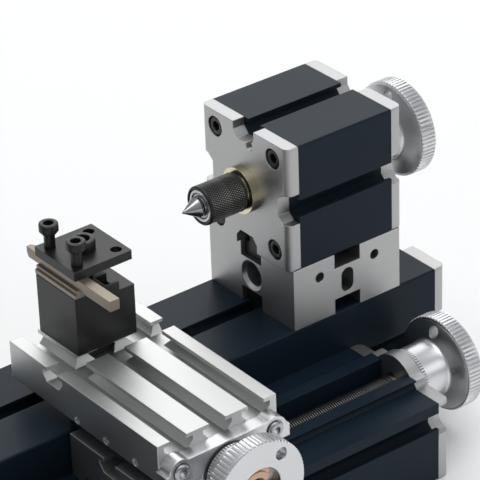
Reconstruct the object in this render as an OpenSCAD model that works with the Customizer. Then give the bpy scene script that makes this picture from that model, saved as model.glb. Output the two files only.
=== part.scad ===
// Mini metal lathe built from square T-slot profiles.
// Frame: the origin lies on the bed's underside, on the spindle's centre line and midway along the bed.
// X runs along the spindle towards the tailstock, Y away from the operator, Z up. Sizes are in mm.

/* [Profile] */
// Width and height of every square profile
profile_w = 50; // [48:0.5:56]
// Opening of a T-slot between its lips
slot_mouth = 6.8; // [6.2:0.1:7.4]
// Width of a T-slot behind its lips
slot_w = 12; // [11:0.1:12.4]
// Thickness of a T-slot's lips
slot_lip = 1.5; // [1.2:0.1:1.8]
// Depth at which a T-slot starts to narrow
slot_straight = 3.2; // [2.8:0.1:3.6]
// Full depth of a T-slot
slot_depth = 6; // [5.6:0.1:6.2]
// Width of a T-slot's floor
slot_floor = 7.2; // [6.6:0.1:8]
// Radius of a profile's long edges
edge_r = 0.8; // [0.4:0.1:1.2]
// Radius of the hollow core of the bed's profile
bed_core_r = 9; // [6:0.5:11]

/* [End plates and screws] */
// Thickness of the end plates
plate_t = 5.2; // [5:0.1:7]
// Radius of a plate's outer upright edges
plate_r = 2.8; // [2:0.1:4]
// Distance of a plate's screws from its sides
plate_screw_side = 8.3; // [7.6:0.1:9]
// Distance of a plate's screws from its top and underside
plate_screw_edge = 6.4; // [5.6:0.1:7]
// Thread radius of the plate screws
screw_r = 2; // [1.6:0.1:2.2]
// Radius of a plate screw's head
head_r = 3.5; // [3.2:0.1:3.7]
// Height of a plate screw's head
head_h = 4; // [3:0.1:4.2]
// Length of a plate screw under its head
screw_len = 12; // [9:0.5:16]

/* [Bed] */
// Length of the bed over its end plates
bed_len = 352; // [330:1:420]
// Distance of the connectors from a raising block's middle, along the bed
connector_at = 14; // [12:0.5:15]
// Length of the connectors between a raising block and a profile
connector_len = 18; // [14:1:20]
// Length of the connectors between profiles side by side
side_connector_len = 20; // [12:1:20]

/* [Raising blocks] */
// Length of a raising block along the bed
block_len = 50; // [46:0.5:54]
// Height of a raising block
block_h = 25; // [24.4:0.1:30]
// Radius of the block's long bore
block_bore_r = 4.75; // [3.5:0.05:5.2]
// Radius of the chamfer round that bore
block_chamfer_r = 6; // [5.6:0.1:6.4]
// Width of the upright oval hole in the block's sides
block_oval_w = 5.7; // [4.6:0.1:6.4]
// Height of the upright oval hole
block_oval_h = 9.8; // [8:0.1:10.6]
// Distance of the tapped side holes from the block's middle
block_tap_x = 12.9; // [11.5:0.1:14]

/* [Tailstock] */
// Place of the tailstock along the bed
tail_x = 128.2; // [118:0.5:135]
// Length of the tailstock over its plates
tail_len = 53.4; // [52:0.2:60]
// Radius of the quill
quill_r = 6.5; // [6.2:0.05:6.7]
// Length of the quill
quill_len = 44; // [42:0.5:46]
// Solid length at the quill's front
quill_solid = 5; // [4:0.5:7]
// Gap between the leadscrew's end and the bottom of the quill's bore
quill_end_gap = 1; // [0.5:0.1:2]
// Travel of the quill
quill_travel = 25; // [18:1:25]
// Radius of the brass guide bush in the tailstock
bush_r = 8; // [7.6:0.1:9]
// Radius of the bush's flange
bush_flange_r = 9; // [9:0.1:10.5]
// Thickness of the bush's flange
bush_flange_t = 3.4; // [2:0.1:3.8]
// Radius of the small hole under the left plate's top notch
pocket_r = 2; // [1.5:0.1:2.4]
// Length of the bush inside the tailstock
bush_len = 18; // [14:0.5:19]

/* [Live centre] */
// Gap between the knurled sleeve and the bush's flange
sleeve_gap = 0.6; // [0.2:0.1:1]
// Radius of the knurled sleeve
sleeve_r = 7.5; // [7.4:0.05:8]
// Length of the knurled sleeve
sleeve_len = 16.8; // [16:0.1:18]
// Length of the quill inside the sleeve
sleeve_seat = 4.5; // [4:0.1:5]
// Radius of the sleeve's set screw
grub_r = 1.2; // [1:0.05:1.3]
// How far that screw stands out of the sleeve
grub_out = 0.7; // [0.3:0.1:1.5]
// Radius of the point's shank
point_shank_r = 2.5; // [2:0.1:2.8]
// Radius of the point's cone at its base
point_r = 3.8; // [3.4:0.1:4]
// Half angle of the point's cone
point_angle = 30; // [28:1:34]

/* [Headstock] */
// Distance of the headstock's plate from the bed's left end
head_inset = 0.5; // [0:0.1:10]
// Length of the headstock over its plates
head_len = 53.4; // [52:0.2:60]
// Wall between the spindle bearings and the T-slots
bearing_wall = 5; // [4:0.25:7]
// Width of a spindle bearing
bearing_w = 8; // [6:0.5:10]
// Radius of the spindle
spindle_r = 6; // [5.4:0.1:7]
// Radius of the bore through the spindle
spindle_bore_r = 4; // [3:0.1:4.4]
// Radius of the spindle's flange behind the chuck
spindle_flange_r = 9; // [8:0.1:9.5]
// Thickness of the spindle's flange
spindle_flange_t = 3; // [2:0.25:4]
// Gap between the flange and the headstock
spindle_gap = 0.6; // [0.4:0.1:1]

/* [Chuck] */
// Thickness of the chuck's front disc
chuck_disc_t = 13; // [11:0.5:15]
// Radius of the chuck's rear hub
chuck_hub_r = 11; // [10:0.25:12]
// Width of the ring that turns to move the jaws
scroll_t = 11.5; // [10:0.25:13]
// Thickness of the flange that keeps the ring on
chuck_back_t = 2.7; // [2:0.1:3.5]
// Radius of the hole in the chuck's face
chuck_bore_r = 8; // [7:0.25:9]
// Width of a jaw
jaw_w = 7; // [6:0.2:7.4]
// Width of a jaw's foot in its guide
jaw_foot_w = 10; // [9:0.2:10.6]
// Height of a jaw's foot
jaw_foot_t = 5; // [4:0.25:6]
// Radius that the closed jaws leave free
jaw_bore_r = 4; // [3.6:0.1:4.6]
// Length of a jaw from its tip to its outer end
jaw_len = 14.4; // [13:0.2:14.6]
// Height of one step of a jaw
jaw_step_t = 4; // [3:0.25:4.5]
// Travel of a jaw
jaw_travel = 6; // [4:0.5:6]

/* [Motor] */
// Length of the motor housing over its plates
motor_len = 80; // [78:1:92]
// Wall between the motor and the T-slots
motor_wall = 2; // [1.8:0.1:5]
// Length of the motor
motor_body_len = 52; // [40:1:60]
// Radius of the motor's shaft
motor_shaft_r = 2; // [1.5:0.1:2.5]
// Length of the shaft inside the motor
motor_shaft_in = 29; // [20:1:36]
// Radius of the collar at the motor's front
motor_collar_r = 6; // [5:0.25:7]

/* [Belt drive] */
// Belt radius of the spindle's pulley
big_pulley_r = 15; // [12:0.5:18]
// Belt radius of the motor's pulley
small_pulley_r = 6; // [5:0.25:8]
// Radius by which a pulley's flanges stand over the belt's track
pulley_rim = 2.2; // [1.8:0.1:3]
// Width of the belt
belt_w = 6; // [5:0.5:8]
// Thickness of the belt
belt_t = 1.4; // [1:0.1:1.6]

/* [Slide unit] */
// Place of the slide unit's middle along the bed
slide_x = 29; // [20:0.5:32]
// Length of the slide unit's body
slide_len = 200; // [190:1:200]
// Thickness of the wall over the slide unit's side slots
shoulder_wall = 1.5; // [1.2:0.1:2.5]
// Width of the guide rail
rail_w = 25; // [24:0.2:26]
// Height of the guide rail
rail_h = 3.7; // [3.6:0.1:4.2]
// Depth of the V grooves in the rail's sides
vee = 1.2; // [0.9:0.1:1.3]
// Width of the leadscrew's channel
channel_w = 14; // [12.5:0.25:15]
// Radius of the lengthwise leadscrew
z_screw_r = 4; // [3.5:0.1:4.4]
// Depth of the leadscrew's axis under the rail's top
z_screw_drop = 7.2; // [6.8:0.1:7.6]
// Radius of the end plate's boss round the leadscrew
lobe_r = 11.5; // [11:0.25:12.5]

/* [Carriage] */
// Place of the carriage along the bed
carriage_x = 27; // [20:0.5:30]
// Length of the carriage
carriage_len = 50; // [48:0.5:52]
// Gap between the carriage and the bed
carriage_bed_gap = 1.7; // [0.5:0.1:2.5]
// Height of the carriage's top over the bed
carriage_rise = 0.4; // [0.3:0.1:1]
// Gap under the carriage
carriage_gap = 0.5; // [0.3:0.1:0.6]
// Thickness of the gib strips
gib_t = 3; // [2.5:0.1:3.5]
// Length of the leadscrew nuts
nut_len = 14; // [10:0.5:16]

/* [Cross slide] */
// Width of the cross slide's base
cross_base_w = 42; // [38:0.5:44]
// Thickness of the cross slide's base under its rail
cross_base_t = 6; // [5.9:0.1:7]
// Distance of the base's back end behind the carriage's middle
cross_base_back = 29; // [24:0.5:32]
// Width of the table
table_w = 50; // [48:0.5:52]
// Thickness of the table
table_t = 14.7; // [14:0.1:17]
// Gap under the table
table_gap = 0.5; // [0.3:0.1:0.6]
// Distance of the table's front end before the carriage's front
table_front = 4.2; // [4:0.1:6]
// Distance of the table's back end behind the bed's centre line
table_back = 8.1; // [5:0.1:12]
// Spacing of the table's lengthwise T-slots
table_pitch = 16.3; // [15.8:0.1:16.8]
// Place of the table's crosswise T-slot, before the bed's centre line
table_slot_y = -18; // [-19:0.25:-14]
// Radius of the cross leadscrew
cross_screw_r = 3; // [2.6:0.1:3.2]
// Height of the cross leadscrew's axis over the carriage
cross_screw_up = 4.6; // [4.4:0.1:5]
// Width of the channel in the cross slide's base
cross_channel_w = 9; // [8:0.25:10]
// Thickness of the cross slide's end plate
cross_plate_t = 5.8; // [5:0.1:7]
// Width of the cross slide's end plate
cross_plate_w = 52; // [50:0.5:54]
// Radius of the plate's lobes round its screws
cross_lobe_r = 4.9; // [4.6:0.1:5.2]
// Distance of those screws from the plate's middle
cross_screw_x = 19.7; // [18.5:0.1:20.2]
// Height of those screws over the table's underside
cross_screw_z = 5.4; // [5:0.1:5.6]
// Radius of those screws
pan_screw_r = 1.5; // [1.4:0.05:1.6]
// Length of those screws in the table
pan_screw_in = 6; // [5:0.5:7]
// Radius of those screws' heads
pan_head_r = 3.1; // [2.8:0.1:3.4]
// Height of those screws' heads
pan_head_h = 2.2; // [2:0.1:2.6]
// Depth of the counterbore under those heads
pan_seat = 0.8; // [0.4:0.1:1.2]
// Travel of the table towards the operator
cross_travel_out = 36.6; // [20:0.2:38]
// Travel of the table away from the operator
cross_travel_in = 3.4; // [1:0.1:3.6]

/* [Handwheels] */
// Radius of a handwheel's knurled rim
wheel_r = 18.6; // [17:0.1:20]
// Width of the knurled rim
wheel_rim_w = 6.7; // [5.5:0.1:8]
// Radius of the wheel's hub
wheel_hub_r = 10.5; // [9.5:0.1:11]
// Length of the hub on the bed and tailstock wheels
hub_len = 12.3; // [10:0.1:14]
// Length of the hub on the cross slide's wheel
cross_hub_len = 7.5; // [6:0.25:9]
// Length of the cone between hub and rim
wheel_cone = 2.3; // [1.5:0.1:3]
// Radius of the recess in the wheel's face
wheel_recess_r = 8.5; // [7:0.1:9]
// Depth of that recess
wheel_recess_d = 5; // [4:0.25:6]
// Radius of the hole for a finger or crank
wheel_hole_r = 2.25; // [1.5:0.05:2.3]
// Distance of that hole from the axis
wheel_hole_at = 14.2; // [14:0.1:14.6]
// Gap between a hub and its plate
wheel_gap = 0.8; // [0.5:0.1:1.2]
// Radius of the shaft ends that carry the wheels
shaft_r = 2.5; // [2.2:0.1:2.6]
// Radius of the screw in a leadscrew's end
end_screw_r = 1.5; // [1.4:0.05:1.6]
// Length of that screw in the leadscrew
end_screw_len = 7; // [6:0.5:8]
// Radius of that screw's head
end_head_r = 3.4; // [3:0.1:3.8]
// Height of that screw's head
end_head_h = 2; // [1.6:0.1:2.4]
// Radius of the socket in that screw's head
end_socket_r = 1.2; // [1:0.1:1.3]

/* [Tool post] */
// Place of the tool post's bolt before the bed's centre line
post_y = -4.6; // [-6:0.2:-4]
// Width of the tool post along the bed
post_w = 25; // [24.6:0.1:26]
// Depth of the tool post
post_d = 23.6; // [23.6:0.1:25]
// Height of the tool post
post_h = 23.2; // [20:0.1:26]
// Width of the lowered ledge on the post's right
ledge_w = 6.3; // [5.6:0.1:6.8]
// Depth of that ledge under the post's top
ledge_drop = 3.4; // [2:0.1:5]
// Width of the open pocket beside the ledge
post_pocket_w = 5.2; // [4:0.1:6]
// Length of that pocket
post_pocket_len = 6.5; // [5:0.1:8]
// Depth of that pocket
post_pocket_d = 7; // [5:0.25:8]
// Wall between that pocket and the post's front
post_pocket_wall = 1; // [0.8:0.1:1.5]
// Size of the clamp plate's sides
clamp_w = 24.3; // [24:0.1:25]
// Thickness of the clamp plate
clamp_t = 3.5; // [3:0.1:5]
// Distance of the clamp screws from the plate's middle
clamp_screw_at = 8.2; // [7.6:0.1:8.4]
// Gap between the clamp plate and the clamp screws' heads
clamp_screw_up = 5.7; // [3:0.1:8]
// Radius of the centre bolt
bolt_r = 3; // [2.6:0.1:3.2]
// Radius of the centre bolt's head
bolt_head_r = 4.5; // [4:0.1:4.8]
// Height of the centre bolt's head
bolt_head_h = 4; // [3:0.1:5]
// Side of the square tool bit
tool_w = 4; // [3:0.1:5]
// Length of the tool bit
tool_len = 50; // [40:1:52]
// Length by which the tool bit stands out to the front
tool_out = 18.9; // [12:0.5:20]
// Thickness of a packing strip
strip_t = 1.45; // [1:0.05:2]
// Gap between the packing strips
strip_gap = 0.05; // [0.05:0.01:0.1]
// Width of a packing strip
strip_w = 4; // [3.4:0.1:4.4]
// Length of a packing strip
strip_len = 24.4; // [23:0.1:26]

/* [Power] */
// Radius of the power socket
socket_r = 4; // [3.5:0.1:5]
// Radius of the hole in the power socket
socket_bore_r = 2.8; // [2.5:0.1:3]
// Radius of the switch's round housing
switch_r = 3.2; // [2.8:0.1:4]
// Length of the switch's lever
lever_len = 9; // [7:0.5:12]

/* [Fits] */
// Radial clearance of a shaft that turns or slides in its bore
running_gap = 0.05; // [0.03:0.01:0.08]
// Radial clearance round a screw in its thread
thread_gap = 0.05; // [0.03:0.01:0.1]
// Clearance of a connector in its slot
slot_gap = 0.2; // [0.15:0.05:0.3]
// Clearance between guide faces
guide_gap = 0.12; // [0.1:0.01:0.2]
// Clearance between faces that pass each other
face_gap = 0.3; // [0.2:0.05:0.4]
// Clearance under the head of the screw in a leadscrew's end
end_head_gap = 0.05; // [0.03:0.01:0.1]

/* [Hidden] */
$fn = 48;

// Heights of the bed, the spindle and the slide unit
bed_top = profile_w;
block_top = bed_top + block_h;
centre_z = block_top + profile_w / 2;
slot_z = profile_w / 2;
shoulder_z = slot_z + slot_w / 2 + shoulder_wall;
rail_top = shoulder_z + rail_h;
z_screw_z = rail_top - z_screw_drop;
slide_y = -profile_w;
slide_front = slide_y - profile_w / 2;

// Plates and screws
plate_screw_y = profile_w / 2 - plate_screw_side;
plate_screw_z = profile_w / 2 - plate_screw_edge;
counterbore_r = head_r + 0.5;
counterbore_d = head_h + 0.4;
screw_hole_r = screw_r + 0.25;
bed_body_len = bed_len - 2 * plate_t;
slide_l = slide_x - slide_len / 2;
slide_r = slide_x + slide_len / 2;
z_screw_upper_y = 13;
z_screw_upper_z = z_screw_z - 3;

// Tailstock
tail_face_l = tail_x - tail_len / 2;
tail_face_r = tail_x + tail_len / 2;
bush_front = tail_face_l - bush_flange_t;
sleeve_back = bush_front - sleeve_gap;
sleeve_front = sleeve_back - sleeve_len;
quill_front = sleeve_back - sleeve_seat;
grub_x = quill_front - 1.5 * grub_r;
quill_back = quill_front + quill_len;
tail_thread_r = 3;
pocket_y = -3.4;
pocket_z = profile_w / 2 - slot_depth - 0.6;
centre_bearing_r = 6.2;
centre_bearing_w = 4;
point_base = sleeve_front - 1.3;
point_tip = point_base - point_r / tan(point_angle);
key_w = 2;
key_h = 1;

// Headstock, chuck and drive
head_x = head_inset + (head_len - bed_len) / 2;
bearing_r = profile_w / 2 - slot_depth - bearing_wall;
chuck_r = profile_w / 2;
head_face_l = head_x - head_len / 2;
head_face_r = head_x + head_len / 2;
flange_back = head_face_r + spindle_gap;
chuck_back = flange_back + spindle_flange_t;
scroll_back = chuck_back + chuck_back_t + face_gap;
disc_back = scroll_back + scroll_t + face_gap;
chuck_face = disc_back + chuck_disc_t;
nose_len = 10;
pulley_w = belt_w + 6;
pulley_right = head_face_l - 1.5;
pulley_left = pulley_right - pulley_w;
pulley_mid = (pulley_left + pulley_right) / 2;
motor_y = profile_w;
motor_right = head_face_l + motor_len;
motor_front = head_face_l + plate_t;
motor_r = profile_w / 2 - slot_depth - motor_wall;
socket_y = motor_y + 7;
socket_z = centre_z - 5;
lever_y = motor_y - 7;
lever_z = centre_z + 5;
lever_pin_r = 0.6;
lever_pin_half = switch_r - 0.2;

// Carriage and cross slide
carriage_front = slide_front;
carriage_back = -profile_w / 2 - carriage_bed_gap;
carriage_low = shoulder_z + carriage_gap;
carriage_top = bed_top + carriage_rise;
base_top = carriage_top + cross_base_t;
cross_rail_top = base_top + rail_h;
cross_screw_axis_z = carriage_top + cross_screw_up;
base_back = slide_y + cross_base_back;
table_low = base_top + table_gap;
table_top = table_low + table_t;
table_y0 = carriage_front - table_front;
cross_nut_y = (carriage_front + base_back) / 2;
cross_plate_front = table_y0 - cross_plate_t;
phillips_z = table_low + cross_screw_z;

// Tool post
post_x = carriage_x;
post_top = table_top + post_h;
tool_x = post_x - post_w / 2 + 1.7 + tool_w / 2;
tool_low = post_top + 2 * strip_t + strip_gap;
clamp_low = tool_low + tool_w;
clamp_top = clamp_low + clamp_t;

// Points of an arc round (cx, cy) from angle a0 to a1 in n steps
function arc(cx, cy, r, a0, a1, n = 6) =
    [for (i = [0:n]) let (a = a0 + (a1 - a0) * i / n) [cx + r * cos(a), cy + r * sin(a)]];

// Outline of a rectangle with round corners about the origin
function rounded(w, h, r) = concat(
    arc(w / 2 - r, h / 2 - r, r, 0, 90), arc(r - w / 2, h / 2 - r, r, 90, 180),
    arc(r - w / 2, r - h / 2, r, 180, 270), arc(w / 2 - r, r - h / 2, r, 270, 360));

// Outline of an end plate seen from above, with its two outer corners rounded
function plate_plan(x_in, x_out, w, s) = concat(
    [[x_in, -w]],
    [for (i = [0:6]) let (a = 15 * i) [x_out - s * plate_r * (1 - sin(a)), -w + plate_r * (1 - cos(a))]],
    [for (i = [0:6]) let (a = 15 * i) [x_out - s * plate_r * (1 - cos(a)), w - plate_r * (1 - sin(a))]],
    [[x_in, w]]);

// Outline of an open belt round two pulleys a distance d apart, t outside their tracks
function belt_outline(r1, r2, d, t) = let (a = acos((r1 - r2) / d)) concat(
    arc(0, 0, r1 + t, a, 360 - a, 24), arc(d, 0, r2 + t, -a, a, 16));

// Extrusions of a flat outline along each axis: drawn as (Y, Z), (X, Z) and (X, Y)
module x_prism(x0, x1) {
    translate([min(x0, x1), 0, 0]) rotate([90, 0, 90]) linear_extrude(abs(x1 - x0)) children();
}
module y_prism(y0, y1) {
    translate([0, max(y0, y1), 0]) rotate([90, 0, 0]) linear_extrude(abs(y1 - y0)) children();
}
module z_prism(z0, z1) {
    translate([0, 0, min(z0, z1)]) linear_extrude(abs(z1 - z0)) children();
}

// Round bars along each axis
module x_rod(x0, x1, y, z, r) {
    translate([min(x0, x1), y, z]) rotate([0, 90, 0]) cylinder(h = abs(x1 - x0), r = r);
}
module y_rod(y0, y1, x, z, r) {
    translate([x, max(y0, y1), z]) rotate([90, 0, 0]) cylinder(h = abs(y1 - y0), r = r);
}
module z_rod(z0, z1, x, y, r) {
    translate([x, y, min(z0, z1)]) cylinder(h = abs(z1 - z0), r = r);
}

// Box from its low corner to its high corner
module span(a, b) {
    translate(a) cube(b - a);
}

// Section of a T-slot that opens upwards at the origin
module slot_2d() {
    m = slot_mouth / 2;
    w = slot_w / 2;
    f = slot_floor / 2;
    polygon([[-m, 1], [-m, -slot_lip], [-w, -slot_lip], [-w, -slot_straight], [-f, -slot_depth],
        [f, -slot_depth], [w, -slot_straight], [w, -slot_lip], [m, -slot_lip], [m, 1]]);
}

// Section of the open notch that an end plate has over a T-slot
module notch_2d() {
    w = slot_w / 2;
    f = slot_floor / 2;
    polygon([[-w, 1], [-w, -slot_straight], [-f, -slot_depth], [f, -slot_depth], [w, -slot_straight],
        [w, 1]]);
}

// The four screw places of a square end plate
module plate_screw_places() {
    for (y = [-1, 1], z = [-1, 1]) translate([y * plate_screw_y, z * plate_screw_z]) children();
}

// Section of a square profile with a T-slot in each side and a round core
module profile_2d(core_r) {
    difference() {
        polygon(rounded(profile_w, profile_w, edge_r));
        for (a = [0:90:270]) rotate(a) translate([0, profile_w / 2]) slot_2d();
        circle(core_r);
        plate_screw_places() circle(screw_r + thread_gap);
    }
}

// Section of a square end plate with a notch in each side and a round opening
module plate_2d(bore_r) {
    difference() {
        polygon(rounded(profile_w, profile_w, edge_r));
        for (a = [0:90:270]) rotate(a) translate([0, profile_w / 2]) notch_2d();
        if (bore_r > 0) circle(bore_r);
    }
}

// Through hole and counterbore of one plate screw along X, counterbored from x_out
module plate_hole(x_in, x_out, y, z) {
    s = sign(x_out - x_in);
    x_rod(x_in - s, x_out + s, y, z, screw_hole_r);
    x_rod(x_out - s * counterbore_d, x_out + s, y, z, counterbore_r);
}

// Square end plate between x_in and x_out about (y, z)
module end_plate(x_in, x_out, y, z, bore_r) {
    s = sign(x_out - x_in);
    difference() {
        intersection() {
            x_prism(x_in, x_out) translate([y, z]) plate_2d(bore_r);
            translate([0, y, z]) z_prism(-profile_w, profile_w)
                polygon(plate_plan(x_in, x_out, profile_w / 2, s));
        }
        for (dy = [-1, 1], dz = [-1, 1])
            plate_hole(x_in, x_out, y + dy * plate_screw_y, z + dz * plate_screw_z);
    }
}

// Socket-head screw along X: its head's underside lies at x, its shank points along dir
module socket_screw_x(x, y, z, dir, len) {
    difference() {
        union() {
            x_rod(x - dir * head_h, x, y, z, head_r);
            x_rod(x - dir * 0.1, x + dir * len, y, z, screw_r);
        }
        translate([x - dir * head_h, y, z]) rotate([0, 90, 0])
            cylinder(h = 4, r = 1.75, center = true, $fn = 6);
    }
}

// The four screws of a square end plate
module plate_screw_set(x_in, x_out, y, z) {
    s = sign(x_out - x_in);
    for (dy = [-1, 1], dz = [-1, 1])
        socket_screw_x(x_out - s * counterbore_d, y + dy * plate_screw_y, z + dz * plate_screw_z, -s,
            screw_len);
}

// Block that raises a profile over the bed, about x
module raising_block(x) {
    groove = slot_w / 2;
    mid = bed_top + block_h / 2;
    tap_z = block_top - 6.8;
    difference() {
        span([x - block_len / 2, -profile_w / 2, bed_top], [x + block_len / 2, profile_w / 2, block_top]);
        for (z = [bed_top, block_top]) {
            span([x - block_len, -groove, z - slot_depth], [x + block_len, groove, z + slot_depth]);
            span([x - groove, -profile_w, z - slot_depth], [x + groove, profile_w, z + slot_depth]);
        }
        x_rod(x - block_len, x + block_len, 0, mid, block_bore_r);
        for (s = [-1, 1]) translate([x + s * block_len / 2, 0, mid]) rotate([0, -90 * s, 0])
            translate([0, 0, -0.01]) cylinder(h = block_chamfer_r - block_bore_r, r1 = block_chamfer_r,
                r2 = block_bore_r);
        y_prism(-profile_w, profile_w) translate([x, mid]) {
            square([block_oval_w, block_oval_h - block_oval_w], center = true);
            for (s = [-1, 1]) translate([0, s * (block_oval_h - block_oval_w) / 2])
                circle(block_oval_w / 2);
        }
        for (s = [-1, 1]) y_rod(-profile_w, -profile_w / 2 + 10, x + s * block_tap_x, tap_z, screw_r);
    }
}

// Flat connector about x: a slot head below z and a square head above it, joined by a web
module block_connector(x, z, up) {
    f = slot_floor / 2 - slot_gap;
    w = slot_w / 2 - slot_gap;
    m = slot_mouth / 2 - slot_gap;
    lip = slot_lip + slot_gap;
    high = slot_depth - slot_gap;
    translate([0, 0, z]) mirror([0, 0, up ? 0 : 1]) x_prism(x - connector_len / 2, x + connector_len / 2)
        polygon([[-f, -high], [-w, -slot_straight], [-w, -lip], [-m, -lip], [-m, slot_gap], [-w, slot_gap],
            [-w, high], [w, high], [w, slot_gap], [m, slot_gap], [m, -lip], [w, -lip],
            [w, -slot_straight], [f, -high]]);
}

// Connector between the side slots of two profiles that lie side by side, about x at height z
module side_connector(x, y, z) {
    f = slot_floor / 2 - slot_gap;
    w = slot_w / 2 - slot_gap;
    m = slot_mouth / 2 - slot_gap;
    lip = slot_lip + slot_gap;
    high = slot_depth - slot_gap;
    half = [[high, -f], [slot_straight, -w], [lip, -w], [lip, -m]];
    right = concat(half, [for (i = [3:-1:0]) [half[i][0], -half[i][1]]]);
    left = [for (p = right) -p];
    translate([0, y, z]) x_prism(x - side_connector_len / 2, x + side_connector_len / 2) {
        polygon(right);
        polygon(left);
        square([2 * lip + 0.2, 2 * m], center = true);
    }
}

// Guide rail's outline over a shoulder, as half widths and heights with V grooves
function rail_outline(low, high, grow) = let (m = (low + high) / 2, w = rail_w / 2 + grow) [
    [w, low], [w, m - vee], [w - vee, m], [w, m + vee], [w, high],
    [-w, high], [-w, m + vee], [vee - w, m], [-w, m - vee], [-w, low]];

// V tongue on a guide face at u0 that points along s, between heights low and high
module tongue_2d(u0, s, low, high) {
    m = (low + high) / 2;
    t = vee - guide_gap;
    polygon([[u0 - s * 0.4, m - t], [u0, m - t], [u0 + s * t, m], [u0, m + t], [u0 - s * 0.4, m + t]]);
}

// Handwheel about its own axis, with its hub's end at 0
module handwheel(hub) {
    rim = hub + wheel_cone;
    face = rim + wheel_rim_w;
    difference() {
        rotate_extrude($fn = 96) polygon([[shaft_r, 0], [wheel_hub_r, 0], [wheel_hub_r, hub],
            [wheel_r - 1, rim], [wheel_r, rim + 0.4], [wheel_r, face - 0.4], [wheel_r - 0.4, face],
            [wheel_recess_r, face], [wheel_recess_r, face - wheel_recess_d],
            [shaft_r, face - wheel_recess_d]]);
        rotate(-45) translate([wheel_hole_at, 0, hub / 2]) cylinder(h = face, r = wheel_hole_r, $fn = 32);
    }
}

// Pan-head screw in the end of a leadscrew, about its own axis, with the leadscrew's end face at 0
module end_screw() {
    difference() {
        union() {
            translate([0, 0, end_head_gap]) cylinder(h = end_head_h, r = end_head_r);
            translate([0, 0, -end_screw_len])
                cylinder(h = end_screw_len + 2 * end_head_gap, r = end_screw_r);
        }
        translate([0, 0, end_head_gap + end_head_h / 2])
            cylinder(h = end_head_h, r = end_socket_r, $fn = 6);
    }
}

// Turned shaft along its own axis with a tapped end at its top
module wheel_shaft(points) {
    top = max([for (p = points) p[1]]);
    difference() {
        rotate_extrude() polygon(points);
        translate([0, 0, top - end_screw_len - 2])
            cylinder(h = end_screw_len + 3, r = end_screw_r + thread_gap);
    }
}

// Pulley along X with flanges beside the belt's track
module pulley(y, r, bore_r) {
    flange = (pulley_w - belt_w) / 2 - 1;
    half = pulley_w / 2;
    translate([pulley_left, y, centre_z]) rotate([0, 90, 0]) rotate_extrude($fn = 72)
        polygon([[bore_r, 0], [r - 1, 0], [r + pulley_rim, 1], [r + pulley_rim, flange], [r, flange],
            [r, pulley_w - flange], [r + pulley_rim, pulley_w - flange], [r + pulley_rim, pulley_w - 1],
            [r - 1, pulley_w], [bore_r, pulley_w]]);
}

module bed_extrusion() {
    color("#2b323b") x_prism(-bed_body_len / 2, bed_body_len / 2) translate([0, profile_w / 2])
        profile_2d(bed_core_r);
}

module bed_end_plates() {
    color("#a8a8a8") for (s = [-1, 1])
        end_plate(s * bed_body_len / 2, s * bed_len / 2, 0, profile_w / 2, 0);
}

// Outline of the slide unit's end plate: the body, the rail and the boss round the leadscrew
module slide_plate_2d() {
    translate([slide_y, 0]) difference() {
        union() {
            translate([-profile_w / 2, 0]) square([profile_w, shoulder_z]);
            polygon(rail_outline(shoulder_z, rail_top, 0));
            translate([-rail_w / 2, shoulder_z - 1]) square([rail_w, 1.2]);
            translate([0, z_screw_z]) circle(lobe_r);
        }
        rotate(180) notch_2d();
        for (s = [-1, 1]) translate([s * profile_w / 2, slot_z]) rotate(-90 * s) notch_2d();
        translate([0, z_screw_z]) circle(shaft_r + 2);
    }
}

// Places of the slide unit's plate screws as (y, z)
slide_screws = [[slide_y - plate_screw_y, profile_w / 2 - plate_screw_z],
    [slide_y + plate_screw_y, profile_w / 2 - plate_screw_z],
    [slide_y - z_screw_upper_y, z_screw_upper_z], [slide_y + z_screw_upper_y, z_screw_upper_z]];

module slide_end_plates() {
    color("#a8a8a8") for (s = [-1, 1]) {
        x_in = s > 0 ? slide_r : slide_l;
        x_out = x_in + s * plate_t;
        difference() {
            intersection() {
                x_prism(x_in, x_out) slide_plate_2d();
                translate([0, slide_y, 0]) z_prism(0, rail_top + lobe_r)
                    polygon(plate_plan(x_in, x_out, profile_w / 2, s));
            }
            for (p = slide_screws) plate_hole(x_in, x_out, p[0], p[1]);
        }
    }
}

module plate_screws() {
    color("#1c1c1e") {
        for (s = [-1, 1]) {
            plate_screw_set(s * bed_body_len / 2, s * bed_len / 2, 0, profile_w / 2);
            plate_screw_set(head_x + s * (head_len / 2 - plate_t), head_x + s * head_len / 2, 0, centre_z);
            x_in = s > 0 ? slide_r : slide_l;
            for (p = slide_screws)
                socket_screw_x(x_in + s * (plate_t - counterbore_d), p[0], p[1], -s, screw_len);
        }
        plate_screw_set(head_face_l + plate_t, head_face_l, motor_y, centre_z);
        plate_screw_set(motor_right - plate_t, motor_right, motor_y, centre_z);
    }
}

module profile_connectors() {
    color("#8f9194") {
        for (s = [-1, 1]) {
            block_connector(head_x + s * connector_at, bed_top, true);
            block_connector(head_x + s * connector_at, block_top, false);
            side_connector(slide_x + s * (slide_len / 2 - side_connector_len), -profile_w / 2, slot_z);
            side_connector(head_x + s * (side_connector_len + 1) / 2, profile_w / 2, centre_z);
        }
        side_connector(slide_x, -profile_w / 2, slot_z);
    }
}

module head_raising_block() {
    color("#a8a8a8") raising_block(head_x);
}

module head_extrusion() {
    color("#2b323b") x_prism(head_face_l + plate_t, head_face_r - plate_t) translate([0, centre_z])
        profile_2d(bearing_r);
}

module head_plates() {
    color("#a8a8a8") for (s = [-1, 1])
        end_plate(head_x + s * (head_len / 2 - plate_t), head_x + s * head_len / 2, 0, centre_z,
            bearing_r - 3);
}

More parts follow.
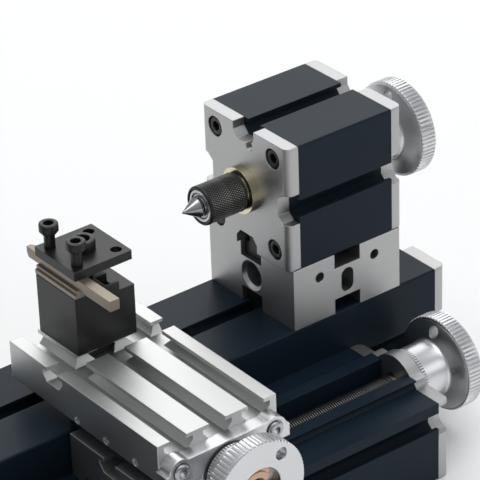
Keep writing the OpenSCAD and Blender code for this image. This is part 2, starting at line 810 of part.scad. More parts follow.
module spindle_bearings() {
    color("#c8c8c8") for (x = [head_face_l + plate_t, head_face_r - plate_t - bearing_w])
        translate([x, 0, centre_z]) rotate([0, 90, 0]) difference() {
            cylinder(h = bearing_w, r = bearing_r);
            translate([0, 0, -1]) cylinder(h = bearing_w + 2, r = spindle_r + running_gap);
            for (z = [-0.1, bearing_w - 0.6]) translate([0, 0, z]) difference() {
                cylinder(h = 0.7, r = bearing_r - 2);
                cylinder(h = 0.7, r = spindle_r + 2);
            }
        }
}

module spindle() {
    left = pulley_left - 6;
    color("#b9bbbe") translate([left, 0, centre_z]) rotate([0, 90, 0]) difference() {
        union() {
            cylinder(h = chuck_back + nose_len - left, r = spindle_r);
            translate([0, 0, flange_back - left]) cylinder(h = spindle_flange_t, r = spindle_flange_r);
        }
        translate([0, 0, -1]) cylinder(h = chuck_back + nose_len - left + 2, r = spindle_bore_r);
    }
}

module spindle_pulley() {
    color("#b9bbbe") pulley(0, big_pulley_r, spindle_r);
}

// One jaw in its own frame: radius along X, guide across Y, the chuck's axis along Z
module jaw_solid(grow) {
    far = jaw_bore_r + jaw_len + (grow > 0 ? chuck_r : 0);
    near = grow > 0 ? 0 : jaw_bore_r;
    span([near, -jaw_foot_w / 2 - grow, -grow], [far, jaw_foot_w / 2 + grow, jaw_foot_t + grow]);
    span([near, -jaw_w / 2 - grow, 0], [far, jaw_w / 2 + grow, chuck_disc_t + (grow > 0 ? 1 : 0)]);
}

// A jaw's three steps in front of the chuck's face, and its nose cut to an edge of 120 degrees
module jaw(turn) {
    w = jaw_w / 2;
    step = jaw_len / 3;
    nose = jaw_foot_w / 2;
    translate([disc_back, 0, centre_z]) rotate([0, 90, 0]) rotate(turn) difference() {
        union() {
            jaw_solid(0);
            for (i = [0:2]) span([jaw_bore_r, -w, chuck_disc_t - 1],
                [jaw_bore_r + (3 - i) * step, w, chuck_disc_t + (i + 1) * jaw_step_t - 2]);
        }
        for (s = [-1, 1]) translate([jaw_bore_r, 0, -1]) rotate(s * 60)
            translate([-30, s > 0 ? 0 : -10, 0]) cube([60, 10, 40]);
    }
}

module chuck_body() {
    color("#8d8f92") translate([0, 0, centre_z]) difference() {
        union() {
            x_rod(disc_back, chuck_face, 0, 0, chuck_r);
            x_rod(chuck_back, disc_back + 0.1, 0, 0, chuck_hub_r);
            x_rod(chuck_back, chuck_back + chuck_back_t, 0, 0, chuck_hub_r + 3);
        }
        x_rod(chuck_back - 1, chuck_back + nose_len, 0, 0, spindle_r);
        x_rod(chuck_back + nose_len - 0.1, chuck_face + 1, 0, 0, chuck_bore_r);
        for (a = [90:120:330]) translate([disc_back, 0, 0]) rotate([0, 90, 0]) rotate(a)
            jaw_solid(guide_gap);
    }
}

module chuck_scroll() {
    color("#8d8f92") translate([scroll_back, 0, centre_z]) rotate([0, 90, 0]) difference() {
        cylinder(h = scroll_t, r = chuck_r - 0.5, $fn = 96);
        translate([0, 0, -1]) cylinder(h = scroll_t + 2, r = chuck_hub_r + running_gap);
        for (a = [45:90:315]) rotate(a) translate([chuck_r - 8, 0, scroll_t / 2]) rotate([0, 90, 0])
            cylinder(h = 20, r = 2);
    }
}

module chuck_jaw_1() {
    color("#77797c") jaw(90);
}

module chuck_jaw_2() {
    color("#77797c") jaw(210);
}

module chuck_jaw_3() {
    color("#77797c") jaw(330);
}

module motor_housing() {
    color("#2b323b") x_prism(motor_front, motor_right - plate_t) translate([motor_y, centre_z])
        profile_2d(motor_r + 0.3);
}

module motor_plates() {
    color("#a8a8a8") difference() {
        union() {
            end_plate(motor_front, head_face_l, motor_y, centre_z, motor_collar_r);
            end_plate(motor_right - plate_t, motor_right, motor_y, centre_z, 0);
        }
        x_rod(motor_right - plate_t - 1, motor_right + 1, socket_y, socket_z, socket_r);
        x_rod(motor_right - plate_t - 1, motor_right + 1, lever_y, lever_z, switch_r);
    }
}

module motor() {
    color("#777a7d") translate([motor_front, motor_y, centre_z]) rotate([0, 90, 0]) difference() {
        union() {
            cylinder(h = motor_body_len, r = motor_r);
            translate([0, 0, 1 - plate_t]) cylinder(h = plate_t, r = motor_collar_r);
            translate([0, 0, motor_body_len]) cylinder(h = 3, r = motor_collar_r);
        }
        translate([0, 0, -plate_t])
            cylinder(h = plate_t + motor_shaft_in + 1, r = motor_shaft_r + running_gap);
    }
}

module motor_shaft() {
    color("#c8c8c8") x_rod(pulley_left, motor_front + motor_shaft_in, motor_y, centre_z, motor_shaft_r);
}

module motor_pulley() {
    color("#b9bbbe") pulley(motor_y, small_pulley_r, motor_shaft_r);
}

module drive_belt() {
    inner = 0.15;
    color("#1b1b1b") x_prism(pulley_mid - belt_w / 2 + 0.4, pulley_mid + belt_w / 2 - 0.4)
        translate([0, centre_z]) difference() {
            polygon(belt_outline(big_pulley_r, small_pulley_r, motor_y, inner + belt_t));
            polygon(belt_outline(big_pulley_r, small_pulley_r, motor_y, inner));
        }
}

module power_socket() {
    y = socket_y;
    z = socket_z;
    color("#1c1c1e") difference() {
        union() {
            x_rod(motor_right - plate_t, motor_right + 2, y, z, socket_r);
            x_rod(motor_right, motor_right + 1.2, y, z, socket_r + 1.5);
        }
        x_rod(motor_right - plate_t + 2, motor_right + 3, y, z, socket_bore_r);
    }
}

// The switch's round housing, with cross holes for the lever's pin
module switch_housing() {
    y = lever_y;
    z = lever_z;
    color("#b9bbbe") difference() {
        union() {
            x_rod(motor_right - plate_t, motor_right + 3, y, z, switch_r);
            translate([motor_right, y, z]) rotate([0, 90, 0])
                cylinder(h = 1.2, r = switch_r + 1.8, $fn = 6);
        }
        x_rod(motor_right - 2, motor_right + 4, y, z, switch_r - 0.8);
        y_rod(y - lever_pin_half - running_gap, y + lever_pin_half + running_gap, motor_right, z,
            lever_pin_r + running_gap);
    }
}

// The lever tips about a pin inside its housing and stands over to one side at rest
module switch_lever() {
    color("#c8c8c8") translate([motor_right, lever_y, lever_z]) rotate([0, 12, 0])
        rotate([0, 90, 0]) {
            y_rod(-lever_pin_half, lever_pin_half, 0, 0, lever_pin_r);
            sphere(r = 1.6, $fn = 32);
            cylinder(h = lever_len, r1 = 0.9, r2 = 1.3);
            translate([0, 0, lever_len]) sphere(r = 1.3, $fn = 32);
        }
}

module slide_body() {
    color("#2b323b") x_prism(slide_l, slide_r) translate([slide_y, 0]) difference() {
        union() {
            translate([-profile_w / 2, 0]) square([profile_w, shoulder_z]);
            polygon(rail_outline(shoulder_z, rail_top, 0));
            translate([-rail_w / 2, shoulder_z - 1]) square([rail_w, 1.2]);
        }
        translate([-channel_w / 2, z_screw_z]) square([channel_w, rail_top]);
        translate([0, z_screw_z]) circle(channel_w / 2);
        rotate(180) slot_2d();
        for (s = [-1, 1]) translate([s * profile_w / 2, slot_z]) rotate(-90 * s) slot_2d();
        for (p = slide_screws) translate([p[0] - slide_y, p[1]]) circle(screw_r + thread_gap);
    }
}

module z_bushes() {
    color("#b08d4c") for (x = [slide_l - plate_t, slide_r])
        translate([x, slide_y, z_screw_z]) rotate([0, 90, 0]) difference() {
            cylinder(h = plate_t, r = shaft_r + 2);
            translate([0, 0, -1]) cylinder(h = plate_t + 2, r = shaft_r + running_gap);
        }
}

// The leadscrew, and the screw in its end that holds the handwheel
module z_leadscrew() {
    left = slide_l - plate_t + 1;
    floor_x = slide_r + plate_t + wheel_gap + hub_len + wheel_cone + wheel_rim_w - wheel_recess_d;
    color("#b9bbbe") translate([0, slide_y, z_screw_z]) rotate([0, 90, 0]) {
        wheel_shaft([[0, left], [shaft_r, left], [shaft_r, slide_l + face_gap], [z_screw_r, slide_l + 1],
            [z_screw_r, slide_r - 1], [shaft_r, slide_r - face_gap], [shaft_r, floor_x], [0, floor_x]]);
        translate([0, 0, floor_x]) end_screw();
    }
}

module z_handwheel() {
    color("#c4c6c8") translate([slide_r + plate_t + wheel_gap, slide_y, z_screw_z]) rotate([0, 90, 0])
        rotate(225) handwheel(hub_len);
}

// Section of the carriage, which wraps the guide rail and carries a T-slot on its top
module carriage() {
    recess_top = rail_top + face_gap;
    gib_side = rail_w / 2 + gib_t + 2 * guide_gap;
    color("#b4b5b6") difference() {
        x_prism(carriage_x - carriage_len / 2, carriage_x + carriage_len / 2) union() {
            difference() {
                translate([carriage_front, carriage_low])
                    square([carriage_back - carriage_front, carriage_top - carriage_low]);
                translate([slide_y - rail_w / 2 - guide_gap, carriage_low - 1])
                    square([rail_w / 2 + guide_gap + gib_side, recess_top - carriage_low + 1]);
                translate([slide_y, carriage_top]) slot_2d();
            }
            translate([slide_y, 0])
                tongue_2d(-rail_w / 2 - guide_gap, 1, shoulder_z, rail_top);
        }
        span([carriage_x - nut_len / 2, slide_y - channel_w / 2, recess_top - 1],
            [carriage_x + nut_len / 2, slide_y + channel_w / 2, recess_top + 4]);
        for (i = [-1:1]) y_rod(slide_y, 0, carriage_x + i * 16, gib_screw_z, 1.5 + thread_gap);
    }
}

// Height of the carriage's gib screws
gib_screw_z = (shoulder_z + rail_top) / 2 + 0.4;

// The strip that takes up the carriage's play, and its three set screws
module carriage_gib() {
    inner = rail_w / 2 + guide_gap;
    color("#6f6f70") {
        x_prism(carriage_x - carriage_len / 2, carriage_x + carriage_len / 2) translate([slide_y, 0]) {
            translate([inner, carriage_low]) square([gib_t, rail_top - carriage_low]);
            tongue_2d(inner, -1, shoulder_z, rail_top);
        }
        for (i = [-1:1])
            y_rod(slide_y + inner + gib_t + guide_gap / 2, carriage_back - 1, carriage_x + i * 16,
                gib_screw_z, 1.5);
    }
}

module carriage_nut() {
    color("#b08d4c") difference() {
        x_prism(carriage_x - nut_len / 2, carriage_x + nut_len / 2) translate([slide_y, 0]) {
            translate([0, z_screw_z]) circle(channel_w / 2 - 0.6);
            translate([0.6 - channel_w / 2, z_screw_z])
                square([channel_w - 1.2, rail_top + face_gap + 4 - z_screw_z]);
        }
        x_rod(carriage_x - nut_len, carriage_x + nut_len, slide_y, z_screw_z, z_screw_r + running_gap);
    }
}

// Section of the cross slide's base: a flat foot with a guide rail and a channel for the screw
module cross_base() {
    low = cross_screw_axis_z - 3.6;
    color("#2b323b") y_prism(carriage_front, base_back) translate([carriage_x, 0]) difference() {
        union() {
            translate([-cross_base_w / 2, carriage_top]) square([cross_base_w, cross_base_t]);
            polygon(rail_outline(base_top, cross_rail_top, 0));
            translate([-rail_w / 2, base_top - 1]) square([rail_w, 1.2]);
        }
        translate([-cross_channel_w / 2, low]) square([cross_channel_w, rail_top]);
    }
}

module cross_nut() {
    low = cross_screw_axis_z - 3.6;
    color("#b08d4c") difference() {
        span([carriage_x - cross_channel_w / 2, cross_nut_y - nut_len / 2, low],
            [carriage_x + cross_channel_w / 2, cross_nut_y + nut_len / 2, cross_rail_top]);
        y_rod(cross_nut_y - nut_len, cross_nut_y + nut_len, carriage_x, cross_screw_axis_z,
            cross_screw_r + running_gap);
    }
}

// Places of the table's gib screws along Y
cross_gib_ys = [-32, -49, -66];
cross_gib_z = (base_top + cross_rail_top) / 2 + 0.4;

module cross_table() {
    recess_top = cross_rail_top + face_gap;
    right = rail_w / 2 + guide_gap;
    left = -rail_w / 2 - gib_t - 2 * guide_gap;
    color("#d0d0ce") difference() {
        y_prism(table_y0, table_back) translate([carriage_x, 0]) {
            difference() {
                translate([-table_w / 2, table_low]) square([table_w, table_t]);
                translate([left, table_low - 1]) square([right - left, recess_top - table_low + 1]);
                for (i = [-1:1]) translate([i * table_pitch, table_top]) slot_2d();
            }
            tongue_2d(right, -1, base_top, cross_rail_top);
        }
        x_prism(carriage_x - table_w, carriage_x + table_w) translate([table_slot_y, table_top])
            slot_2d();
        for (y = cross_gib_ys)
            x_rod(carriage_x - table_w, carriage_x, y, cross_gib_z, 1.5 + thread_gap);
        for (s = [-1, 1])
            y_rod(table_y0 - 1, table_y0 + pan_screw_in + 3, carriage_x + s * cross_screw_x, phillips_z,
                pan_screw_r + thread_gap);
    }
}

// The strip that takes up the table's play, and its set screws
module cross_gib() {
    inner = -rail_w / 2 - guide_gap;
    color("#6f6f70") {
        y_prism(table_y0, table_back) translate([carriage_x, 0]) {
            translate([inner - gib_t, table_low]) square([gib_t, cross_rail_top - table_low]);
            tongue_2d(inner, 1, base_top, cross_rail_top);
        }
        for (y = cross_gib_ys)
            x_rod(carriage_x - table_w / 2 + 1, carriage_x + inner - gib_t - guide_gap / 2, y,
                cross_gib_z, 1.5);
    }
}

// The plate on the table's front: a bar with a lobe at each screw and a boss round the leadscrew
module cross_end_plate() {
    bar_low = phillips_z - cross_lobe_r;
    color("#d0d0ce") difference() {
        y_prism(cross_plate_front, table_y0) translate([carriage_x, 0]) difference() {
            union() {
                translate([-cross_screw_x, bar_low]) square([2 * cross_screw_x, 1.8 * cross_lobe_r]);
                for (s = [-1, 1]) translate([s * cross_screw_x, phillips_z]) {
                    circle(cross_lobe_r);
                    translate([s > 0 ? 0 : cross_screw_x - cross_plate_w / 2, -cross_lobe_r])
                        square([cross_plate_w / 2 - cross_screw_x, cross_lobe_r]);
                }
                translate([0, cross_screw_axis_z]) circle(lobe_r);
            }
            translate([0, cross_screw_axis_z]) circle(shaft_r + running_gap);
        }
        for (s = [-1, 1]) {
            y_rod(cross_plate_front - 1, table_y0 + 1, carriage_x + s * cross_screw_x, phillips_z,
                pan_screw_r + slot_gap);
            y_rod(cross_plate_front - 1, cross_plate_front + pan_seat, carriage_x + s * cross_screw_x,
                phillips_z, pan_head_r + 2 * slot_gap);
        }
    }
}

module cross_plate_screws() {
    seat = cross_plate_front + pan_seat;
    rounding = 0.6;
    color("#c8c8c8") for (s = [-1, 1]) translate([carriage_x + s * cross_screw_x, seat, phillips_z])
        rotate([90, 0, 0]) difference() {
            union() {
                cylinder(h = pan_head_h - rounding, r = pan_head_r);
                translate([0, 0, pan_head_h - rounding])
                    cylinder(h = rounding, r1 = pan_head_r, r2 = pan_head_r - 1.5 * rounding);
                translate([0, 0, -cross_plate_t - pan_screw_in])
                    cylinder(h = cross_plate_t + pan_screw_in + 0.1, r = pan_screw_r);
            }
            for (a = [20, 110])
                rotate(a) translate([-2, -0.35, pan_head_h / 2]) cube([4, 0.7, pan_head_h]);
        }
}

// The cross leadscrew, and the screw in its end that holds the handwheel
module cross_leadscrew() {
    floor_y = wheel_gap + cross_hub_len + wheel_cone + wheel_rim_w - wheel_recess_d - cross_plate_front;
    back = -(cross_nut_y + nut_len / 2 + cross_travel_out + 1);
    color("#b9bbbe") translate([carriage_x, 0, cross_screw_axis_z]) rotate([90, 0, 0]) {
        wheel_shaft([[0, back], [cross_screw_r, back], [cross_screw_r, -table_y0 - 0.8],
            [shaft_r, -table_y0 - face_gap], [shaft_r, floor_y], [0, floor_y]]);
        translate([0, 0, floor_y]) end_screw();
    }
}

module cross_handwheel() {
    color("#c4c6c8") translate([carriage_x, cross_plate_front - wheel_gap, cross_screw_axis_z])
        rotate([90, 0, 0]) rotate(96) handwheel(cross_hub_len);
}

module tool_post() {
    half = post_w / 2;
    deep = post_d / 2;
    color("#2f2f30") translate([post_x, post_y, table_top]) difference() {
        span([-half, -deep, 0], [half, deep, post_h]);
        translate([0, 0, -1]) cylinder(h = post_h + 2, r = bolt_r + 0.3);
        span([half - ledge_w, -deep - 1, post_h - ledge_drop], [half + 1, deep + 1, post_h + 1]);
        span([half - ledge_w - post_pocket_w, post_pocket_wall - deep, post_h - post_pocket_d],
            [half - ledge_w, post_pocket_wall + post_pocket_len - deep, post_h + 1]);
        y_prism(-post_d, post_d) polygon([[-half - 1, post_h + 1], [-half - 1, post_h - 2],
            [2 - half - 1, post_h + 1]]);
    }
}

// The bolt through the tool post, and the nut that it pulls up in the table's middle T-slot
module post_bolt() {
    nut_w = slot_w - 2 * slot_gap;
    low = table_top - slot_depth + slot_gap;
    color("#232324") translate([post_x, post_y, 0]) {
        difference() {
            union() {
                z_rod(clamp_top, clamp_top + bolt_head_h, 0, 0, bolt_head_r);
                z_rod(low, clamp_top + 0.1, 0, 0, bolt_r);
            }
            z_prism(clamp_top + bolt_head_h - 2.5, clamp_top + bolt_head_h + 1)
                circle(2.5, $fn = 6);
        }
        y_prism(-7, 7) polygon([[slot_gap - slot_floor / 2, low], [-nut_w / 2, table_top - slot_straight],
            [-nut_w / 2, table_top - slot_lip - 0.05], [nut_w / 2, table_top - slot_lip - 0.05],
            [nut_w / 2, table_top - slot_straight], [slot_floor / 2 - slot_gap, low]]);
    }
}

// Places of the clamp plate's four corner holes
clamp_corners = [for (x = [-1, 1], y = [-1, 1]) [x * clamp_screw_at, y * clamp_screw_at]];

module clamp_plate() {
    color("#2f2f30") translate([post_x, post_y, clamp_low]) difference() {
        linear_extrude(clamp_t) polygon(rounded(clamp_w, clamp_w, 0.4));
        translate([0, 0, -1]) cylinder(h = clamp_t + 2, r = bolt_r + 0.1);
        for (p = clamp_corners) translate([p[0], p[1], -1])
            cylinder(h = clamp_t + 2, r = screw_r + thread_gap);
    }
}

module clamp_screws() {
    seat = clamp_top + clamp_screw_up;
    color("#1c1c1e") for (p = [clamp_corners[0], clamp_corners[1]])
        translate([post_x + p[0], post_y + p[1], 0]) difference() {
            union() {
                z_rod(seat, seat + head_h, 0, 0, head_r);
                z_rod(clamp_low, seat + 0.1, 0, 0, screw_r);
            }
            z_prism(seat + head_h - 2.2, seat + head_h + 1) circle(1.75, $fn = 6);
        }
}

module packing_strips() {
    left = post_x - post_w / 2;
    color("#b0a594") for (i = [0, 1]) {
        low = post_top + i * (strip_t + strip_gap);
        span([left + 0.7 * i, post_y - strip_len / 2, low],
            [left + 0.7 * i + strip_w, post_y + strip_len / 2, low + strip_t]);
    }
}

// The tool bit, square in section, with its cutting end ground at the back
module tool_bit() {
    y0 = post_y - post_d / 2 - tool_out;
    y1 = y0 + tool_len;
    w = tool_w / 2;
    color("#b5ab9a") difference() {
        span([tool_x - w, y0, tool_low], [tool_x + w, y1, clamp_low]);
        z_prism(tool_low - 1, clamp_low + 1)
            polygon([[tool_x + w + 1, y1 - 5], [tool_x + w + 1, y1 + 1], [tool_x - w + 1, y1 + 1]]);
        x_prism(tool_x - tool_w, tool_x + tool_w)
            polygon([[y1 + 1, tool_low - 1], [y1 + 1, clamp_low - 0.5], [y1 - 1.5, tool_low - 1]]);
    }
}

module tail_raising_block() {
    color("#a8a8a8") raising_block(tail_x);
}

module tail_connectors() {
    color("#8f9194") for (s = [-1, 1]) {
        block_connector(tail_x + s * connector_at, bed_top, true);
        block_connector(tail_x + s * connector_at, block_top, false);
    }
}

module tail_extrusion() {
    color("#2b323b") x_prism(tail_face_l + plate_t, tail_face_r - plate_t) translate([0, centre_z])
        profile_2d(bush_r);
}

// The tailstock's plates; the left one has a small hole that opens into its top notch
module tail_plates() {
    color("#a8a8a8") difference() {
        for (s = [-1, 1])
            end_plate(tail_x + s * (tail_len / 2 - plate_t), tail_x + s * tail_len / 2, 0, centre_z,
                s < 0 ? bush_r : shaft_r + 2);
        x_rod(tail_face_l - 1, tail_face_l + plate_t + 1, pocket_y, centre_z + pocket_z, pocket_r);
    }
}

module tail_plate_screws() {
    color("#1c1c1e") for (s = [-1, 1])
        plate_screw_set(tail_x + s * (tail_len / 2 - plate_t), tail_x + s * tail_len / 2, 0, centre_z);
}

// Guide bush of the quill with its flange and key, and the plain bush of the tailstock's screw
module tail_bushes() {
    key_low = quill_r - key_h + running_gap;
    color("#b99a55") {
        translate([bush_front, 0, centre_z]) rotate([0, 90, 0]) difference() {
            union() {
                cylinder(h = bush_flange_t, r = bush_flange_r);
                cylinder(h = bush_flange_t + bush_len, r = bush_r);
            }
            translate([0, 0, -1]) difference() {
                cylinder(h = bush_flange_t + bush_len + 2, r = quill_r + running_gap);
                translate([key_low, -key_w / 2 + running_gap, 0])
                    cube([4, key_w - 2 * running_gap, bush_flange_t + bush_len + 2]);
            }
        }
        translate([tail_face_r - plate_t, 0, centre_z]) rotate([0, 90, 0]) difference() {
            cylinder(h = plate_t, r = shaft_r + 2);
            translate([0, 0, -1]) cylinder(h = plate_t + 2, r = shaft_r + running_gap);
        }
    }
}

module quill() {
    color("#b9bbbe") translate([0, 0, centre_z]) difference() {
        x_rod(quill_front, quill_back, 0, 0, quill_r);
        x_rod(quill_front + quill_solid, quill_back + 1, 0, 0, tail_thread_r + running_gap);
        span([sleeve_back, -key_w / 2, -quill_r - 1], [quill_back + 1, key_w / 2, key_h - quill_r]);
    }
}

module tail_screw() {
    floor_x = tail_face_r + wheel_gap + hub_len + wheel_cone + wheel_rim_w - wheel_recess_d;
    inner = tail_face_r - plate_t;
    left = quill_front + quill_solid + quill_end_gap;
    color("#b9bbbe") translate([0, 0, centre_z]) rotate([0, 90, 0]) {
        wheel_shaft([[0, left], [tail_thread_r, left], [tail_thread_r, inner - 4], [bush_r - 2, inner - 4],
            [bush_r - 2, inner - face_gap], [shaft_r, inner - face_gap], [shaft_r, floor_x],
            [0, floor_x]]);
        translate([0, 0, floor_x]) end_screw();
    }
}

module tail_handwheel() {
    color("#c4c6c8") translate([tail_face_r + wheel_gap, 0, centre_z]) rotate([0, 90, 0])
        rotate(225) handwheel(hub_len);
}

module centre_sleeve() {
    color("#1d1d1e") translate([0, 0, centre_z]) difference() {
        x_rod(sleeve_front, sleeve_back, 0, 0, sleeve_r);
        x_rod(quill_front, sleeve_back + 1, 0, 0, quill_r);
        x_rod(sleeve_front - 1, sleeve_front + 2 * centre_bearing_w, 0, 0, centre_bearing_r);
        x_rod(sleeve_front, quill_front + 1, 0, 0, point_shank_r + 1);
        z_rod(-sleeve_r - 1, 0, grub_x, 0, grub_r + thread_gap);
    }
}

module centre_bearings() {
    color("#c8c8c8") for (i = [0, 1]) translate([sleeve_front + 0.3 + i * centre_bearing_w, 0, centre_z])
        rotate([0, 90, 0]) difference() {
            cylinder(h = centre_bearing_w - 0.3, r = centre_bearing_r);
            translate([0, 0, -1]) cylinder(h = centre_bearing_w + 1, r = point_shank_r + running_gap);
            translate([0, 0, -0.1]) difference() {
                cylinder(h = 0.6, r = centre_bearing_r - 1);
                cylinder(h = 0.6, r = point_shank_r + 1.1);
            }
        }
}

module centre_point() {
    color("#c8c9ca") translate([0, 0, centre_z]) rotate([0, 90, 0]) rotate_extrude()
        polygon([[0, point_tip], [point_r, point_base], [point_r, point_base + 0.6],
            [point_shank_r + 0.3, sleeve_front], [point_shank_r, sleeve_front],
            [point_shank_r, sleeve_front + 2 * centre_bearing_w + 1],
            [0, sleeve_front + 2 * centre_bearing_w + 1]]);
}

module sleeve_grub_screw() {
    color("#151515")
        z_rod(centre_z - sleeve_r - grub_out, centre_z - point_shank_r - 1.5, grub_x, 0, grub_r);
}

bed_extrusion();
bed_end_plates();
plate_screws();
profile_connectors();
head_raising_block();
head_extrusion();
head_plates();
spindle_bearings();
spindle();
spindle_pulley();
chuck_body();
chuck_scroll();
chuck_jaw_1();
chuck_jaw_2();
chuck_jaw_3();
motor_housing();
motor_plates();
motor();
motor_shaft();
motor_pulley();
drive_belt();
power_socket();
switch_housing();
switch_lever();
slide_body();
slide_end_plates();
z_bushes();
z_leadscrew();
z_handwheel();
carriage();
carriage_nut();
carriage_gib();
cross_base();
cross_nut();
cross_table();
cross_gib();
cross_end_plate();
cross_plate_screws();
cross_leadscrew();
cross_handwheel();
tool_post();
post_bolt();
clamp_plate();
clamp_screws();
packing_strips();
tool_bit();
tail_raising_block();
tail_connectors();
tail_extrusion();
tail_plates();
tail_plate_screws();
tail_bushes();
quill();
tail_screw();
tail_handwheel();
centre_sleeve();
centre_bearings();
centre_point();
sleeve_grub_screw();
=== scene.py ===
"""Dresses the solid model of a mini metal lathe: knurls, threads, screws, finishes and a studio."""

import math

import bmesh
import bpy
from mathutils import Matrix, Vector


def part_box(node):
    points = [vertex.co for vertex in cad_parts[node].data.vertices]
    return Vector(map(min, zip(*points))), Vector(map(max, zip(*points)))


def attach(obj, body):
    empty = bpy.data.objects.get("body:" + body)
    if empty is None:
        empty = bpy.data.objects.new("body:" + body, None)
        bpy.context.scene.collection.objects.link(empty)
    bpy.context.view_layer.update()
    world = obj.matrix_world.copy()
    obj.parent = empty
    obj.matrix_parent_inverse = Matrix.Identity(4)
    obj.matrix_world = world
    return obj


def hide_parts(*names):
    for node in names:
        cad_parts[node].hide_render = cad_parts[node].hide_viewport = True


bl_info = {
    "name": "Mini Metal Lathe",
    "version": (1, 0, 0),
    "blender": (4, 5, 0),
    "location": "View3D > Sidebar > Lathe",
    "description": "Knurls, threads, screws and finishes for the solid model of a mini metal lathe",
    "category": "Object",
}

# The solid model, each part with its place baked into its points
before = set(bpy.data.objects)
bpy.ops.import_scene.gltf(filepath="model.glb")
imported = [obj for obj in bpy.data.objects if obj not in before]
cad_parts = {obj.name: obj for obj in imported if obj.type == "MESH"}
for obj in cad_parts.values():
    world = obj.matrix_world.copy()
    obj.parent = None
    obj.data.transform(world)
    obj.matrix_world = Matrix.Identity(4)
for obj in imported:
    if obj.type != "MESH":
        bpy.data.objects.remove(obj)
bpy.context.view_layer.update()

MM = 0.001
TURN = 2 * math.pi

# Sizes in metres that the scene's pieces share with the solid model, where no node's box gives them
PLATE_T = 5.2 * MM
PLATE_SCREW_SIDE = 16.7 * MM
PLATE_SCREW_UP = 18.6 * MM
SLIDE_SCREW_SIDE = 13 * MM
SLIDE_SCREW_UP = 26 * MM
PROFILE_HALF = 25 * MM
SHAFT_R = 2.5 * MM
WHEEL_HUB_R = 10.5 * MM
WHEEL_CONE = 2.3 * MM
WHEEL_RIM_W = 6.7 * MM
WHEEL_RECESS_R = 8.5 * MM
WHEEL_RECESS_D = 5 * MM
WHEEL_HOLE_AT = 14.2 * MM
WHEEL_HOLE_R = 2.25 * MM
DIAL_LINE = 1.7 * MM
END_HEAD_H = 2 * MM
TAIL_THREAD_R = 3 * MM
SLEEVE_BORE_R = 6.25 * MM
QUILL_R = 6.5 * MM
POINT_SHANK_R = 2.55 * MM
BEARING_PITCH = 4 * MM
HEAD_SUNK = 0.4 * MM
BELT_T = 1.55 * MM

# Camera: its place in metres, its turn from +X, its dip under the horizon, its roll and its lens
CAMERA_PLACE = Vector((-0.45224, -0.73668, 0.61027))
CAMERA_TURN = 0.92892013
CAMERA_DIP = 0.52347303
CAMERA_ROLL = -0.03630199
CAMERA_LENS = 218.58
CAMERA_FILM = 36

# Extruded aluminium, anodised blue-black: satin, with faint die lines along the profile
ANODISED = dict(colour="anodised", metallic=0.0, roughness=0.38, specular=0.11, spread=0.08,
    depth=0.003, edge=0.35, worn=0.05)

